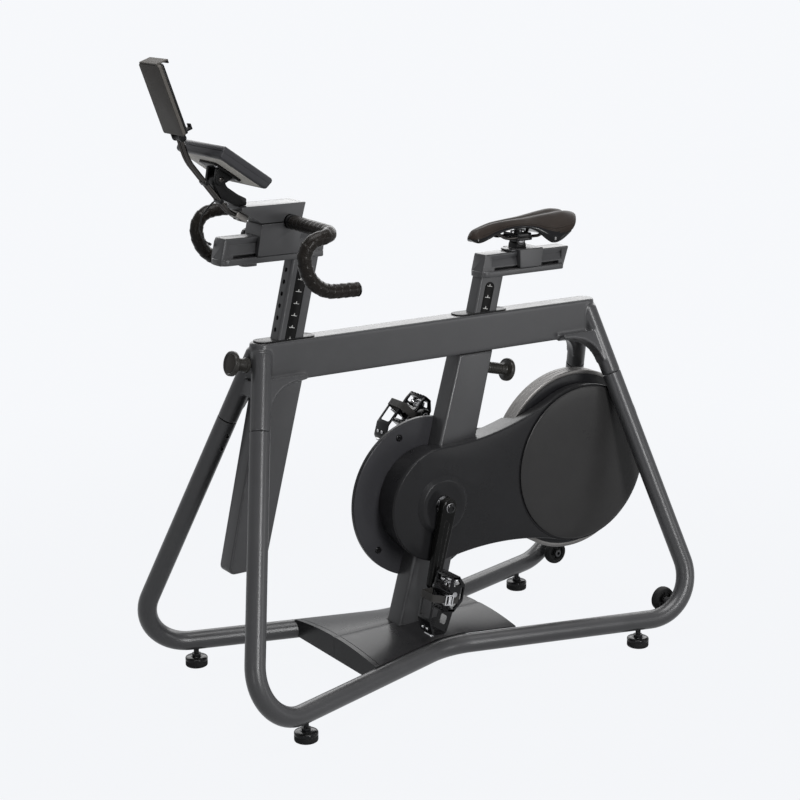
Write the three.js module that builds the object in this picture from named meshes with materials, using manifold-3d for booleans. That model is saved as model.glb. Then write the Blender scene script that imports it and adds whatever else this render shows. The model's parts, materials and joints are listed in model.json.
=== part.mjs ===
import * as THREE from "three";
import { mergeVertices } from "three/addons/utils/BufferGeometryUtils.js";
import Module from "manifold-3d";

// An exercise bike: an A-shaped tube frame round a central seat tube, with a belt-driven flywheel,
// a sliding saddle, a sliding drop handlebar, a console and a tablet holder.
// Millimetres. +X is forward, +Y is the rider's left, +Z is up, and the floor is Z = 0.

const wasm = await Module();
wasm.setup();

// Fits
const gap = 0.3; // between pieces that touch
const slideGap = 0.5; // each side of a piece that slides
const turnGap = 0.4; // round a piece that turns
const far = 3000; // reach of a cutting block, beyond every piece

// Side tubes and legs
const tubeDiameter = 42.4;
const tubeBendRadius = 100;
const waistBendRadius = 200;
const baseTubeHeight = 60; // tube centre above the floor
const frontCornerX = 611;
const frontCornerY = 281;
const waistX = 22;
const waistY = 104;
const rearCornerX = -588;
const rearCornerY = 272;
const seamHeight = 608;
const frontSeamX = 463;
const frontSeamY = 68;
const rearSeamX = -467.5;
const rearSeamY = 65.5;

// Main beam
const beamTop = 778;
const beamHeight = 85;
const beamWidth = 50;
const edgeRounding = 4;
const filletAlongBeam = 85;
const filletAlongLeg = 62;
const collarLength = 136;
const collarWidth = 42;
const collarHeight = 2.5;
const collarShift = 6;

// Posts and the tubes that guide them
const postTilt = THREE.MathUtils.degToRad(13.1);
const postDepth = 62;
const postWidth = 36;
const postRounding = 7;
const handlebarPostX = 357.7; // where the post's axis crosses the beam's top face
const seatPostX = -139.8;
const handlebarPostInsert = 290;
const seatPostInsert = 290;
const indexPitch = 25;
const indexHoleDiameter = 10;
const indexHoleDepth = 7;
const scaleWidth = 20;
const scaleThickness = 1.5;
const scaleTopMargin = 12; // below the rail, along the post
const scaleShift = 3; // in front of the post's axis
const sleeveBottom = 298;
const sleeveWidth = 46;
const sleeveRearReach = 40;
const sleeveFrontReach = 50;
const seatTubeWidth = 52;
const seatTubeRearReach = 36;
const seatTubeFrontReach = 53;
const seatTubeFootReach = 76;
const postTravelBelow = 80; // room under each post inside its tube

// Base
const bridgeBottom = 48;
const bridgeTop = 66;
const bridgeFrontX = 112;
const bridgeRearX = -48;
const coverFrontX = 250;
const coverRearX = -140;
const coverBottom = 47;
const coverRidge = 98;
const coverEdgeHeight = 84;
const coverWall = 3;

// Feet and transport wheels
const frontFootX = 465;
const rearFootX = -430;
const footDiameter = 50;
const footHeight = 13;
const footStemDiameter = 12;
const footStemInsert = 10;
const wheelX = -528;
const wheelY = 200;
const wheelHeight = 85;
const wheelDiameter = 58;
const wheelWidth = 22;
const wheelAxleDiameter = 10;

// Crank and pedals
const crankLength = 175;
const crankLean = THREE.MathUtils.degToRad(12.8);
const lowPedalClearance = 118.15; // from the base tubes' top up to the low pedal's axle
const baseTubeTop = baseTubeHeight + tubeDiameter / 2;
const crankHeight = baseTubeTop + lowPedalClearance + crankLength * Math.cos(crankLean);
const crankArmClearance = 3; // beside the casing's boss
const crankArmThickness = 18;
const crankEyeDiameter = 40;
const crankTipDiameter = 27;
const spindleDiameter = 22;
const bracketDiameter = 48;
const bracketHousing = 64;
const crankPulleyDiameter = 180;
const pedalAxleDiameter = 12;
const pedalWidth = 62;
const pedalLength = 80;
const pedalThickness = 24;
const toeCageReach = 58;
const toeCageHeight = 46;
const toeCageWall = 3;
const leftPedalPitch = THREE.MathUtils.degToRad(78);
const rightPedalPitch = THREE.MathUtils.degToRad(48);

// Flywheel and drive
const flywheelX = -396;
const flywheelHeight = 402;
const flywheelDiameter = 424;
const flywheelWidth = 40;
const flywheelRimDepth = 60;
const flywheelShaftDiameter = 20;
const flywheelPulleyDiameter = 56;
const driveArmThickness = 5;
const driveArmEyeWall = 18; // of metal round the flywheel's shaft
const driveArmTaperLength = 60; // from the shaft to where the lower edge starts to rise
const driveArmTaperDrop = 6;
const driveArmFront = 34; // behind the crank's axis
const driveArmFrontHalf = 44;
const driveArmShoulder = 40; // length of the sloping front corner
const driveArmShoulderRise = 16;
const driveArmRounding = 10;
const beltWidth = 10;
const beltThickness = 3;
const pulleyInnerY = 36;

// Casings
const casingWall = 3;
const casingWaistRadius = 700;
const leftCasingFace = 56;
const leftCasingBack = -17;
const leftCasingTaper = 9;
const leftCrankRadius = 129;
const leftFlywheelRadius = 186;
const leftDiscDiameter = 362;
const leftDiscDome = 7;
const rightCasingFace = -51;
const rightCasingBack = -23;
const rightCasingTaper = 20;
const rightCrankRadius = 183;
const rightFlywheelRadius = 190;
const rightWaistRadius = 130;
const crankOpening = 44;
const bossDiameter = 134;
const bossHeight = 8;
const casingRimWidth = 8; // straight part of a casing's wall, before its taper

// Pull knobs
const knobDiameter = 52;
const knobThickness = 12;
const knobPinDiameter = 9;
const frontKnobDrop = 65; // below the beam's top along the post
const frontKnobShankDiameter = 32;
const frontKnobShankLength = 30;
const rearKnobDrop = 121;
const rearKnobShankDiameter = 26;
const rearKnobShankLength = 62;

// Handlebar rail and slider
const handlebarRailRise = 168; // of its underside above the beam
const handlebarRailBottom = beamTop + handlebarRailRise;
const handlebarRailFront = 520;
const handlebarRailSetback = 14; // of its top edge behind its bottom edge
const handlebarRailRear = 280;
const railLedgeWidth = 54;
const railLedgeHeight = 13;
const railWidth = 42;
const railHeight = 54;
const handlebarRailTop = handlebarRailBottom + railHeight;
const sliderFront = 432;
const sliderRear = 336;
const sliderWidth = 64;
const clampRise = 25; // of the handlebar's centre above the rail
const clampHeight = handlebarRailTop + clampRise;
const clampX = 363;
const sliderFloorGap = 1;
const capThickness = 37; // above the handlebar's centre
const capTop = clampHeight + capThickness;
const capFront = 474;

// Handlebar
const barDiameter = 30;
const barHalfWidth = 220;
const barSweep = 12;
const barReach = 86;
const barDrop = 113;
const barEndX = 321;
const barStraight = 90; // width of the straight middle
const barCornerRadius = 34;
const barUpperRadius = 38;
const barLowerRadius = 70;
const barBlendRadius = 100;

// Console and tablet holder
const consoleTilt = THREE.MathUtils.degToRad(34.3);
const consoleLength = 132;
const consoleWidth = 184;
const consoleThickness = 26;
const consolePivotX = 513;
const consolePivotRise = 57;
const consolePivotHeight = capTop + consolePivotRise;
const consoleOffset = 20; // from the pivot to the slab's underside
const armWidth = 26;
const armThickness = 18;
const stalkDiameter = 8;
const stalkSpacing = 14;
const tabletTilt = THREE.MathUtils.degToRad(20);
const tabletLength = 144;
const tabletWidth = 84;
const tabletThickness = 13;
const tabletPivotX = 590;
const tabletPivotRise = 142;
const tabletPivotHeight = capTop + tabletPivotRise;
const tabletLipDepth = 14;
const tabletLipThickness = 3;
const clipPinLength = 50; // inside the tablet plate
const clipPinDiameter = 4;
const cableDiameter = 3.2;
const cableExitGap = 1.9; // from the console arm's side to the cable's axis
const cableExitX = 482;
const cableExitRise = 24; // above the cap
const cableExitHeight = capTop + cableExitRise;
const cableSideReach = 48; // of the loop's widest point from the middle
const cableFrontX = 528;
const cableFrontRise = 12; // above the rail's top
const cableFrontHeight = handlebarRailTop + cableFrontRise;
const cableEndX = 515;
const cableEndDrop = 16; // below the rail's top
const cableEndHeight = handlebarRailTop - cableEndDrop;
const cableEndGap = 1.7; // from the rail's side to the cable's axis
const stalkClampDepth = 13;
const stalkRootShare = 0.75; // of the way down the cap's nose
const stalkRootReach = 7;
const stalkFirstRun = 22;
const stalkFirstRise = 10;
const stalkNeckSetback = 15;
const stalkNeckHeight = 46; // below the tablet's pivot
const stalkLowerBend = 60;
const stalkUpperBend = 90;

// Seat
const seatRailRise = 79; // of its underside above the beam
const seatRailBottom = beamTop + seatRailRise;
const seatRailFront = -124;
const seatRailRear = -369;
const seatRailHeight = 50;
const seatRailTop = seatRailBottom + seatRailHeight;
const carriageFront = -222;
const carriageRear = -287;
const leverLength = 18;
const leverWidth = 44;
const leverThickness = 4;
const leverClearance = 0.5; // above the rail
const saddlePivotX = -238;
const saddlePivotRise = 23;
const saddlePivotHeight = seatRailTop + saddlePivotRise;
const saddleBarrelDiameter = 24;
const saddleNoseX = -100;
const saddleTailX = -366;
const saddleTopRise = 58;
const saddleTopHeight = saddlePivotHeight + saddleTopRise;
const saddleHalfWidth = 72;
const saddleRailDiameter = 7;
const saddleRailRise = 8; // of the rails' level part above the pivot
const saddleRailNoseSetback = 52;
const saddleRailNoseSpread = 8;
const saddleRailNoseRise = 24;
const saddleRailFrontReach = 46; // from the pivot
const saddleRailFrontSpread = 20;
const saddleRailRearReach = 40;
const saddleRailRearSpread = 22;
const saddleRailTailSetback = 62;
const saddleRailTailSpread = 34;
const saddleRailTailRise = 14;
const saddleRailBend = 30;
const saddleRailSlightBend = 6;
const saddleClampHalf = 22;
const saddleClampHalfWidth = 29;
const saddleClampFloor = 1; // above the pivot
const saddleClampHeight = 16;

const finishes = {
  graphite: { color: 0x4c4c4f, roughness: 0.45, metalness: 0.35 },
  darkPlastic: { color: 0x2b2b2d, roughness: 0.55, metalness: 0 },
  blackPlastic: { color: 0x151516, roughness: 0.5, metalness: 0 },
  rubber: { color: 0x1a1a1a, roughness: 0.9, metalness: 0 },
  steel: { color: 0x9a9a9c, roughness: 0.35, metalness: 1 },
  chrome: { color: 0xd0d0d2, roughness: 0.12, metalness: 1 },
  tape: { color: 0x1f1a18, roughness: 0.5, metalness: 0 },
  leather: { color: 0x2c2422, roughness: 0.45, metalness: 0 },
  glass: { color: 0x0a0b0c, roughness: 0.08, metalness: 0 },
};

const bike = new THREE.Group();

// ---- helpers ----

function solidOf(geometry) {
  const source = geometry.index ? geometry.toNonIndexed() : geometry;
  const bare = new THREE.BufferGeometry();
  bare.setAttribute("position", source.getAttribute("position"));
  const merged = mergeVertices(bare, 1e-4);
  const vertProperties = merged.getAttribute("position").array;
  const triVerts = new Uint32Array(merged.index.array);
  return new wasm.Manifold(new wasm.Mesh({ numProp: 3, vertProperties, triVerts }));
}

function joined(...geometries) {
  return geometries.map(solidOf).reduce((whole, next) => whole.add(next));
}

function without(solid, ...geometries) {
  return geometries.map(solidOf).reduce((whole, next) => whole.subtract(next), solid);
}

function geometryOf(solid) {
  const mesh = solid.getMesh();
  const geometry = new THREE.BufferGeometry();
  geometry.setAttribute("position", new THREE.BufferAttribute(mesh.vertProperties, 3));
  geometry.setIndex(new THREE.BufferAttribute(mesh.triVerts, 1));
  const shaded = geometry.toNonIndexed();
  shaded.computeVertexNormals();
  return shaded;
}

function addPiece(parent, name, shape, finish) {
  const geometry = shape.isBufferGeometry ? shape : geometryOf(shape);
  const mesh = new THREE.Mesh(geometry, new THREE.MeshStandardMaterial(finishes[finish]));
  mesh.name = name;
  parent.add(mesh);
  return mesh;
}

function groupAt(parent, x, y, z, turnAboutY = 0) {
  const group = new THREE.Group();
  group.position.set(x, y, z);
  group.rotation.y = turnAboutY;
  parent.add(group);
  return group;
}

// A closed outline through corners [x, y, radius], each rounded by its radius.
function roundedShape(corners) {
  const shape = new THREE.Shape();
  corners.forEach(([x, y, radius = 0], i) => {
    const here = new THREE.Vector2(x, y);
    const before = new THREE.Vector2(...corners.at(i - 1));
    const after = new THREE.Vector2(...corners[(i + 1) % corners.length]);
    const start = here.clone().add(before.sub(here).setLength(radius));
    const end = here.clone().add(after.sub(here).setLength(radius));
    if (i === 0) shape.moveTo(start.x, start.y);
    else shape.lineTo(start.x, start.y);
    if (radius > 0) shape.quadraticCurveTo(x, y, end.x, end.y);
  });
  shape.closePath();
  return shape;
}

function rectangle(left, bottom, right, top, radius = 0) {
  return roundedShape([
    [left, bottom, radius],
    [right, bottom, radius],
    [right, top, radius],
    [left, top, radius],
  ]);
}

// A prism of an outline drawn in X and Z, between two values of Y, with its edges rounded by bevel.
function sidePrism(shape, low, high, bevel = 0, curveSegments = 4) {
  const depth = high - low - 2 * bevel;
  const settings = { depth, curveSegments, bevelEnabled: bevel > 0, bevelSegments: 1 };
  Object.assign(settings, { bevelSize: bevel, bevelThickness: bevel, bevelOffset: -bevel });
  return new THREE.ExtrudeGeometry(shape, settings)
    .rotateX(Math.PI / 2)
    .translate(0, high - bevel, 0);
}

// A prism of an outline drawn in X and Z, from the plane y = wide to the plane y = narrow. After
// a straight rim its wall leans inwards by inset.
function taperedPrism(shape, wide, narrow, inset, rim, curveSegments) {
  const lean = Math.abs(narrow - wide) - rim;
  const settings = { depth: 2 * rim, curveSegments, bevelEnabled: true, bevelSegments: 1 };
  Object.assign(settings, { bevelSize: inset, bevelThickness: lean, bevelOffset: -inset });
  const geometry = new THREE.ExtrudeGeometry(shape, settings).rotateX(Math.PI / 2);
  const outward = Math.sign(narrow - wide);
  return solidOf(geometry.translate(0, wide + rim, 0)).trimByPlane([0, outward, 0], outward * wide);
}

// A prism of an outline drawn in X and Y, between two heights.
function uprightPrism(shape, low, high, bevel = 0, curveSegments = 4) {
  const depth = high - low - 2 * bevel;
  const settings = { depth, curveSegments, bevelEnabled: bevel > 0, bevelSegments: 1 };
  Object.assign(settings, { bevelSize: bevel, bevelThickness: bevel, bevelOffset: -bevel });
  return new THREE.ExtrudeGeometry(shape, settings).translate(0, 0, low + bevel);
}

function box(left, right, low, high, bottom, top) {
  const geometry = new THREE.BoxGeometry(right - left, high - low, top - bottom);
  return geometry.translate((left + right) / 2, (low + high) / 2, (bottom + top) / 2);
}

// A round bar between two points.
function rod(from, to, diameter, sides = 12) {
  const along = to.clone().sub(from);
  const turn = new THREE.Quaternion();
  turn.setFromUnitVectors(new THREE.Vector3(0, 1, 0), along.clone().normalize());
  const middle = from.clone().add(to).multiplyScalar(0.5);
  return new THREE.CylinderGeometry(diameter / 2, diameter / 2, along.length(), sides)
    .applyQuaternion(turn)
    .translate(middle.x, middle.y, middle.z);
}

function crossRod(x, z, low, high, diameter, sides = 20) {
  return rod(new THREE.Vector3(x, low, z), new THREE.Vector3(x, high, z), diameter, sides);
}

// A solid of revolution about +Y from a closed profile of [radius, height] pairs.
function turned(profile, segments) {
  const points = profile.map(([radius, height]) => new THREE.Vector2(radius, height));
  if (THREE.ShapeUtils.area(points) < 0) points.reverse();
  points.push(points[0].clone());
  return new THREE.LatheGeometry(points, segments);
}

// A path of straight runs joined by arcs, with stations only where the direction changes.
class BentPath extends THREE.Curve {
  constructor(corners, radii, arcSteps) {
    super();
    this.stations = [{ point: corners[0], heading: corners[1].clone().sub(corners[0]).normalize() }];
    for (let i = 1; i < corners.length - 1; i++) this.addArc(corners, i, radii[i - 1], arcSteps);
    const last = corners.at(-1);
    this.stations.push({ point: last, heading: last.clone().sub(corners.at(-2)).normalize() });
  }

  addArc(corners, i, radius, arcSteps) {
    const into = corners[i].clone().sub(corners[i - 1]).normalize();
    const out = corners[i + 1].clone().sub(corners[i]).normalize();
    const angle = into.angleTo(out);
    const start = corners[i].clone().addScaledVector(into, -radius * Math.tan(angle / 2));
    const inward = out.clone().addScaledVector(into, -into.dot(out)).normalize();
    const centre = start.clone().addScaledVector(inward, radius);
    for (let k = 0; k <= arcSteps; k++) {
      const a = (angle * k) / arcSteps;
      const point = centre.clone().addScaledVector(into, radius * Math.sin(a));
      point.addScaledVector(inward, -radius * Math.cos(a));
      const heading = into.clone().multiplyScalar(Math.cos(a)).addScaledVector(inward, Math.sin(a));
      this.stations.push({ point, heading });
    }
  }

  get steps() {
    return this.stations.length - 1;
  }

  getPoint(t, target = new THREE.Vector3()) {
    const at = Math.min(t * this.steps, this.steps - 1e-9);
    const i = Math.floor(at + 1e-6);
    const next = this.stations[Math.min(i + 1, this.steps)];
    return target.copy(this.stations[i].point).lerp(next.point, Math.max(0, at - i));
  }

  getTangent(t, target = new THREE.Vector3()) {
    return target.copy(this.stations[Math.round(t * this.steps)].heading);
  }

  getUtoTmapping(u) {
    return u;
  }
}

function tubeAlong(path, diameter, sides, steps = path.steps) {
  const section = new THREE.Shape();
  for (let k = 0; k < sides; k++) {
    const a = (2 * Math.PI * (k + 0.5)) / sides;
    const x = (diameter / 2) * Math.cos(a);
    const y = (diameter / 2) * Math.sin(a);
    if (k === 0) section.moveTo(x, y);
    else section.lineTo(x, y);
  }
  return new THREE.ExtrudeGeometry(section, { steps, extrudePath: path, curveSegments: 1 });
}

// A skin over rings of equal length, closed at both ends.
function loft(rings) {
  const count = rings[0].length;
  const triangles = [];
  const face = (a, b, c) => triangles.push(...a, ...b, ...c);
  for (let r = 0; r + 1 < rings.length; r++) {
    for (let k = 0; k < count; k++) {
      const next = (k + 1) % count;
      face(rings[r][k], rings[r][next], rings[r + 1][next]);
      face(rings[r][k], rings[r + 1][next], rings[r + 1][k]);
    }
  }
  const middle = (ring) => [0, 1, 2].map((axis) => ring.reduce((sum, p) => sum + p[axis], 0) / count);
  for (let k = 0; k < count; k++) {
    const next = (k + 1) % count;
    face(middle(rings[0]), rings[0][next], rings[0][k]);
    face(middle(rings.at(-1)), rings.at(-1)[k], rings.at(-1)[next]);
  }
  const geometry = new THREE.BufferGeometry();
  geometry.setAttribute("position", new THREE.Float32BufferAttribute(triangles, 3));
  return geometry;
}

// ---- shared places ----

const sides = { left: 1, right: -1 };
const beamBottom = beamTop - beamHeight;
const point = (x, y, z) => new THREE.Vector3(x, y, z);

const legs = {
  front: { corner: point(frontCornerX, frontCornerY, baseTubeHeight), x: frontSeamX, y: frontSeamY },
  rear: { corner: point(rearCornerX, rearCornerY, baseTubeHeight), x: rearSeamX, y: rearSeamY },
};

// The leg's axis at a height, on the left side.
function legAxis(leg, height) {
  const seam = point(leg.x, leg.y, seamHeight);
  const share = (height - baseTubeHeight) / (seamHeight - baseTubeHeight);
  return leg.corner.clone().lerp(seam, share);
}

const toSide = (vector, side) => point(vector.x, side * vector.y, vector.z);

// The left base tube's centre line in plan.
function baseTubeY(x) {
  const corner = x > waistX ? legs.front.corner : legs.rear.corner;
  return waistY + ((corner.y - waistY) * (x - waistX)) / (corner.x - waistX);
}

const postAxisX = (postX, height) => postX + (beamTop - height) * Math.tan(postTilt);

function tiltedGroup(postX) {
  return groupAt(bike, postX, 0, beamTop, -postTilt);
}

// Height along a post's axis, from the beam's top, at which the axis reaches a height.
const alongPost = (height) => (height - beamTop) / Math.cos(postTilt);

// ---- frame ----

function sideTubePath(side) {
  const corners = [
    legAxis(legs.front, seamHeight - gap),
    legs.front.corner,
    point(waistX, waistY, baseTubeHeight),
    legs.rear.corner,
    legAxis(legs.rear, seamHeight - gap),
  ];
  const placed = corners.map((corner) => toSide(corner, side));
  return new BentPath(placed, [tubeBendRadius, waistBendRadius, tubeBendRadius], 5);
}

function sideTube(side, growth = 0) {
  return tubeAlong(sideTubePath(side), tubeDiameter + 2 * growth, 12);
}

// Two bolt heads on the inner side of each leg, just under its seam.
function legBolts(leg, side) {
  return [28, 56].map((drop) => {
    const axis = toSide(legAxis(leg, seamHeight - drop), side);
    const head = axis.clone().add(point(0, (-side * tubeDiameter) / 2 - side * 4, -2));
    return rod(axis, head, 11, 6);
  });
}

function wheelAxle(side) {
  const innerY = wheelY - wheelWidth / 2 - gap;
  const outerY = wheelY + wheelWidth / 2 + gap;
  const spin = (low, high, diameter) => {
    const from = point(wheelX, side * low, wheelHeight);
    return rod(from, point(wheelX, side * high, wheelHeight), diameter, 12);
  };
  const root = baseTubeY(wheelX) - 6;
  return [
    spin(innerY - 4, root, wheelAxleDiameter),
    spin(innerY - 4, innerY, wheelAxleDiameter + 7),
    spin(outerY, root, wheelAxleDiameter + 8),
  ];
}

function footBore(x, side) {
  const y = side * baseTubeY(x);
  const top = baseTubeHeight - tubeDiameter / 2 + footStemInsert + gap;
  return rod(point(x, y, 0), point(x, y, top), footStemDiameter + 2 * turnGap, 10);
}

function addSideTubes() {
  for (const [name, side] of Object.entries(sides)) {
    const bolts = [...legBolts(legs.front, side), ...legBolts(legs.rear, side)];
    const tube = joined(sideTube(side), ...bolts, ...wheelAxle(side));
    const bores = [footBore(frontFootX, side), footBore(rearFootX, side)];
    addPiece(bike, name + "_side_tube", without(tube, ...bores), "graphite");
  }
}

// The hole that a post passes through, in the post's own tilted frame.
function postHole(postX, fromAlong, toAlong) {
  const halfDepth = postDepth / 2 + slideGap;
  const halfWidth = postWidth / 2 + slideGap;
  const shape = rectangle(-halfDepth, -halfWidth, halfDepth, halfWidth, postRounding);
  return uprightPrism(shape, fromAlong, toAlong, 0, 2)
    .rotateY(-postTilt)
    .translate(postX, 0, beamTop);
}

function legStub(leg, side) {
  const top = legAxis(leg, beamTop - tubeDiameter / 2);
  const bottom = legAxis(leg, seamHeight + gap);
  return rod(toSide(bottom, side), toSide(top, side), tubeDiameter, 12);
}

// A concave fillet between the beam's underside and a leg.
function legFillet(leg, side, inward) {
  const alongLeg = legAxis(leg, 0).sub(legAxis(leg, 1)).normalize();
  const down = toSide(alongLeg, side);
  const alongBeam = point(inward, 0, 0);
  const across = alongBeam.clone().cross(down).normalize();
  const root = toSide(legAxis(leg, beamBottom), side);
  root.addScaledVector(alongBeam, tubeDiameter / 2 - 1);
  const shape = new THREE.Shape();
  shape.moveTo(-12, -12);
  shape.lineTo(filletAlongBeam, -12);
  shape.lineTo(filletAlongBeam, -1);
  shape.quadraticCurveTo(0, -1, 0, filletAlongLeg);
  shape.lineTo(-12, filletAlongLeg);
  shape.closePath();
  const depth = beamWidth * 0.6;
  const wedge = new THREE.ExtrudeGeometry(shape, { depth, bevelEnabled: false, curveSegments: 6 });
  wedge.translate(0, 0, -depth / 2);
  const frame = new THREE.Matrix4().makeBasis(alongBeam, down, across).setPosition(root);
  return wedge.applyMatrix4(frame);
}

// The web that closes the fork between a pair of legs.
function legWeb(leg) {
  const top = legAxis(leg, beamBottom + 8);
  const low = legAxis(leg, beamBottom - 26);
  const ring = (axis, half) => [
    [axis.x - half, -axis.y, axis.z],
    [axis.x + half, -axis.y, axis.z],
    [axis.x + half, axis.y, axis.z],
    [axis.x - half, axis.y, axis.z],
  ];
  return loft([ring(low, 8), ring(top, 12)]);
}

// How far the beam's front face lies from the handlebar post's axis, at the pull knob's height.
function frontKnobReach() {
  const axisX = handlebarPostX + frontKnobDrop * Math.sin(postTilt);
  const height = beamTop - frontKnobDrop * Math.cos(postTilt) + tubeDiameter / 2;
  const face = legAxis(legs.front, height).x + tubeDiameter / 2 + 1.5;
  return (face - axisX) / Math.cos(postTilt) + gap;
}

function knobBore(postX, drop, outward, reach) {
  const from = point(0, 0, -drop);
  const to = point(outward * reach, 0, -drop);
  return rod(from, to, knobPinDiameter + 2 * slideGap, 12)
    .rotateY(-postTilt)
    .translate(postX, 0, beamTop);
}

function addMainBeam() {
  const front = legAxis(legs.front, beamTop).x;
  const rear = legAxis(legs.rear, beamTop).x;
  const half = beamWidth / 2;
  const plan = rectangle(rear - half, -half, front + half, half, half);
  const pieces = [uprightPrism(plan, beamBottom, beamTop, edgeRounding, 5)];
  for (const side of Object.values(sides)) {
    pieces.push(legStub(legs.front, side), legStub(legs.rear, side));
    pieces.push(legFillet(legs.front, side, -1), legFillet(legs.rear, side, 1));
  }
  pieces.push(legWeb(legs.front), legWeb(legs.rear));
  const holes = [handlebarPostX, seatPostX].map((x) => postHole(x, -beamHeight * 1.3, beamHeight));
  const bore = knobBore(handlebarPostX, frontKnobDrop, 1, 2 * frontKnobReach());
  const cuts = [...holes, bore, handlebarSleeveBlank(gap)];
  addPiece(bike, "main_beam", without(joined(...pieces), ...cuts), "graphite");
}

function addCollars() {
  const half = collarLength / 2;
  for (const [name, postX] of [["front_collar", handlebarPostX], ["rear_collar", seatPostX]]) {
    const x = postX + collarShift;
    const shape = rectangle(x - half, -collarWidth / 2, x + half, collarWidth / 2, 14);
    const plate = uprightPrism(shape, beamTop + gap, beamTop + gap + collarHeight, 0, 3);
    const hole = postHole(postX, -20, 20);
    addPiece(bike, name, without(solidOf(plate), hole), "graphite");
  }
}

// The handlebar sleeve before its hole is cut; grown, it is the room that the beam leaves for it.
function handlebarSleeveBlank(growth) {
  const top = beamBottom - gap + growth;
  const slant = 1 / Math.cos(postTilt);
  const topX = postAxisX(handlebarPostX, top);
  const lowX = postAxisX(handlebarPostX, sleeveBottom);
  const shape = roundedShape([
    [topX - sleeveRearReach * slant - 4 - growth, top],
    [topX + sleeveFrontReach * slant + 3 + growth, top],
    [lowX + sleeveFrontReach * slant - 3, sleeveBottom, 14],
    [lowX - sleeveRearReach * slant + 2, sleeveBottom, 14],
  ]);
  const half = sleeveWidth / 2 + growth;
  return sidePrism(shape, -half, half, growth > 0 ? 0 : 5);
}

function addHandlebarSleeve() {
  const sleeve = solidOf(handlebarSleeveBlank(0));
  const depth = handlebarPostInsert + postTravelBelow + 45;
  const hole = postHole(handlebarPostX, -depth, 0);
  addPiece(bike, "handlebar_sleeve", without(sleeve, hole), "graphite");
}

function seatTubeShape(top, bottom, growth = 0) {
  const slant = 1 / Math.cos(postTilt);
  const topX = postAxisX(seatPostX, top);
  const lowX = postAxisX(seatPostX, bottom);
  return roundedShape([
    [topX - seatTubeRearReach * slant - growth, top],
    [topX + seatTubeFrontReach * slant + growth, top],
    [lowX + seatTubeFootReach * slant + growth, bottom],
    [lowX - seatTubeRearReach * slant - growth, bottom],
  ]);
}

function grownSeatTube(growth) {
  const half = seatTubeWidth / 2 + growth;
  return sidePrism(seatTubeShape(beamBottom, bridgeTop, growth), -half, half);
}

function addSeatTube() {
  const half = seatTubeWidth / 2;
  const shape = seatTubeShape(beamBottom - gap, bridgeTop + gap);
  const housing = crossRod(0, crankHeight, -half, half, bracketHousing, 16);
  const tube = joined(sidePrism(shape, -half, half, 6), housing);
  const bore = crossRod(0, crankHeight, -half - 1, half + 1, bracketDiameter + 3 * gap, 16);
  const pocket = postHole(seatPostX, -(seatPostInsert + postTravelBelow), 0);
  const pin = knobBore(seatPostX, rearKnobDrop, -1, 2 * seatTubeRearReach);
  addPiece(bike, "seat_tube", without(tube, bore, pocket, pin), "graphite");
}

function addBaseBridge() {
  const y = (x) => baseTubeY(x);
  const shape = roundedShape([
    [bridgeRearX, -y(bridgeRearX)],
    [waistX, -waistY],
    [bridgeFrontX, -y(bridgeFrontX)],
    [bridgeFrontX, y(bridgeFrontX)],
    [waistX, waistY],
    [bridgeRearX, y(bridgeRearX)],
  ]);
  const plate = solidOf(uprightPrism(shape, bridgeBottom, bridgeTop));
  const tubes = [sideTube(1, gap), sideTube(-1, gap)];
  addPiece(bike, "base_bridge", without(plate, ...tubes), "graphite");
}

// The space under one half of the base cover, from its ridge to the tube it rests on.
function coverSpace(side, fromX, toX, drop, floor, overhang) {
  const across = 5;
  const stations = 8;
  const rings = [];
  for (let i = 0; i <= stations; i++) {
    const x = fromX + ((toX - fromX) * i) / stations;
    const edge = Math.max(baseTubeY(x), waistY + 9) - 5 + overhang;
    const ring = [[x, side * gap, floor], [x, side * edge, floor]];
    for (let k = across; k >= 0; k--) {
      const y = gap + ((edge - gap) * k) / across;
      const fall = (coverRidge - coverEdgeHeight) * (y / edge) ** 2;
      ring.push([x, side * y, coverRidge - fall - drop]);
    }
    rings.push(ring);
  }
  return loft(side > 0 ? rings : rings.map((ring) => ring.slice().reverse()));
}

function addBaseCovers() {
  for (const [name, side] of Object.entries(sides)) {
    const skin = solidOf(coverSpace(side, coverRearX, coverFrontX, 0, coverBottom, 0));
    const inside = coverSpace(
      side, coverRearX - 1, coverFrontX - coverWall, coverWall, coverBottom - 1, 2,
    );
    const cuts = [inside, sideTube(side, gap), grownSeatTube(gap)];
    addPiece(bike, name + "_base_cover", without(skin, ...cuts), "darkPlastic");
  }
}

// ---- feet and wheels ----

function footProfile() {
  const stem = footStemDiameter / 2;
  const top = baseTubeHeight - tubeDiameter / 2;
  return [
    [0, 0],
    [footDiameter / 2, 0],
    [footDiameter / 2, footHeight - 3],
    [footDiameter / 2 - 4, footHeight],
    [stem + 5, footHeight],
    [stem + 5, footHeight + 7],
    [stem, footHeight + 7],
    [stem, top + footStemInsert],
    [0, top + footStemInsert],
  ];
}

function addFeet() {
  for (const [end, x] of [["front", frontFootX], ["rear", rearFootX]]) {
    for (const [name, side] of Object.entries(sides)) {
      const place = groupAt(bike, x, side * baseTubeY(x), 0);
      const foot = turned(footProfile(), 14).rotateX(Math.PI / 2);
      addPiece(place, end + "_" + name + "_foot", foot, "rubber");
    }
  }
}

function addWheels() {
  const half = wheelWidth / 2;
  const radius = wheelDiameter / 2;
  const bore = wheelAxleDiameter / 2 + turnGap;
  const profile = [
    [bore, -half],
    [radius - 8, -half],
    [radius - 2, 3 - half],
    [radius, 0],
    [radius - 2, half - 3],
    [radius - 8, half],
    [bore, half],
  ];
  for (const [name, side] of Object.entries(sides)) {
    const place = groupAt(bike, wheelX, side * wheelY, wheelHeight);
    addPiece(place, name + "_transport_wheel", turned(profile, 18), "blackPlastic");
  }
}

// ---- drive ----

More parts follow.
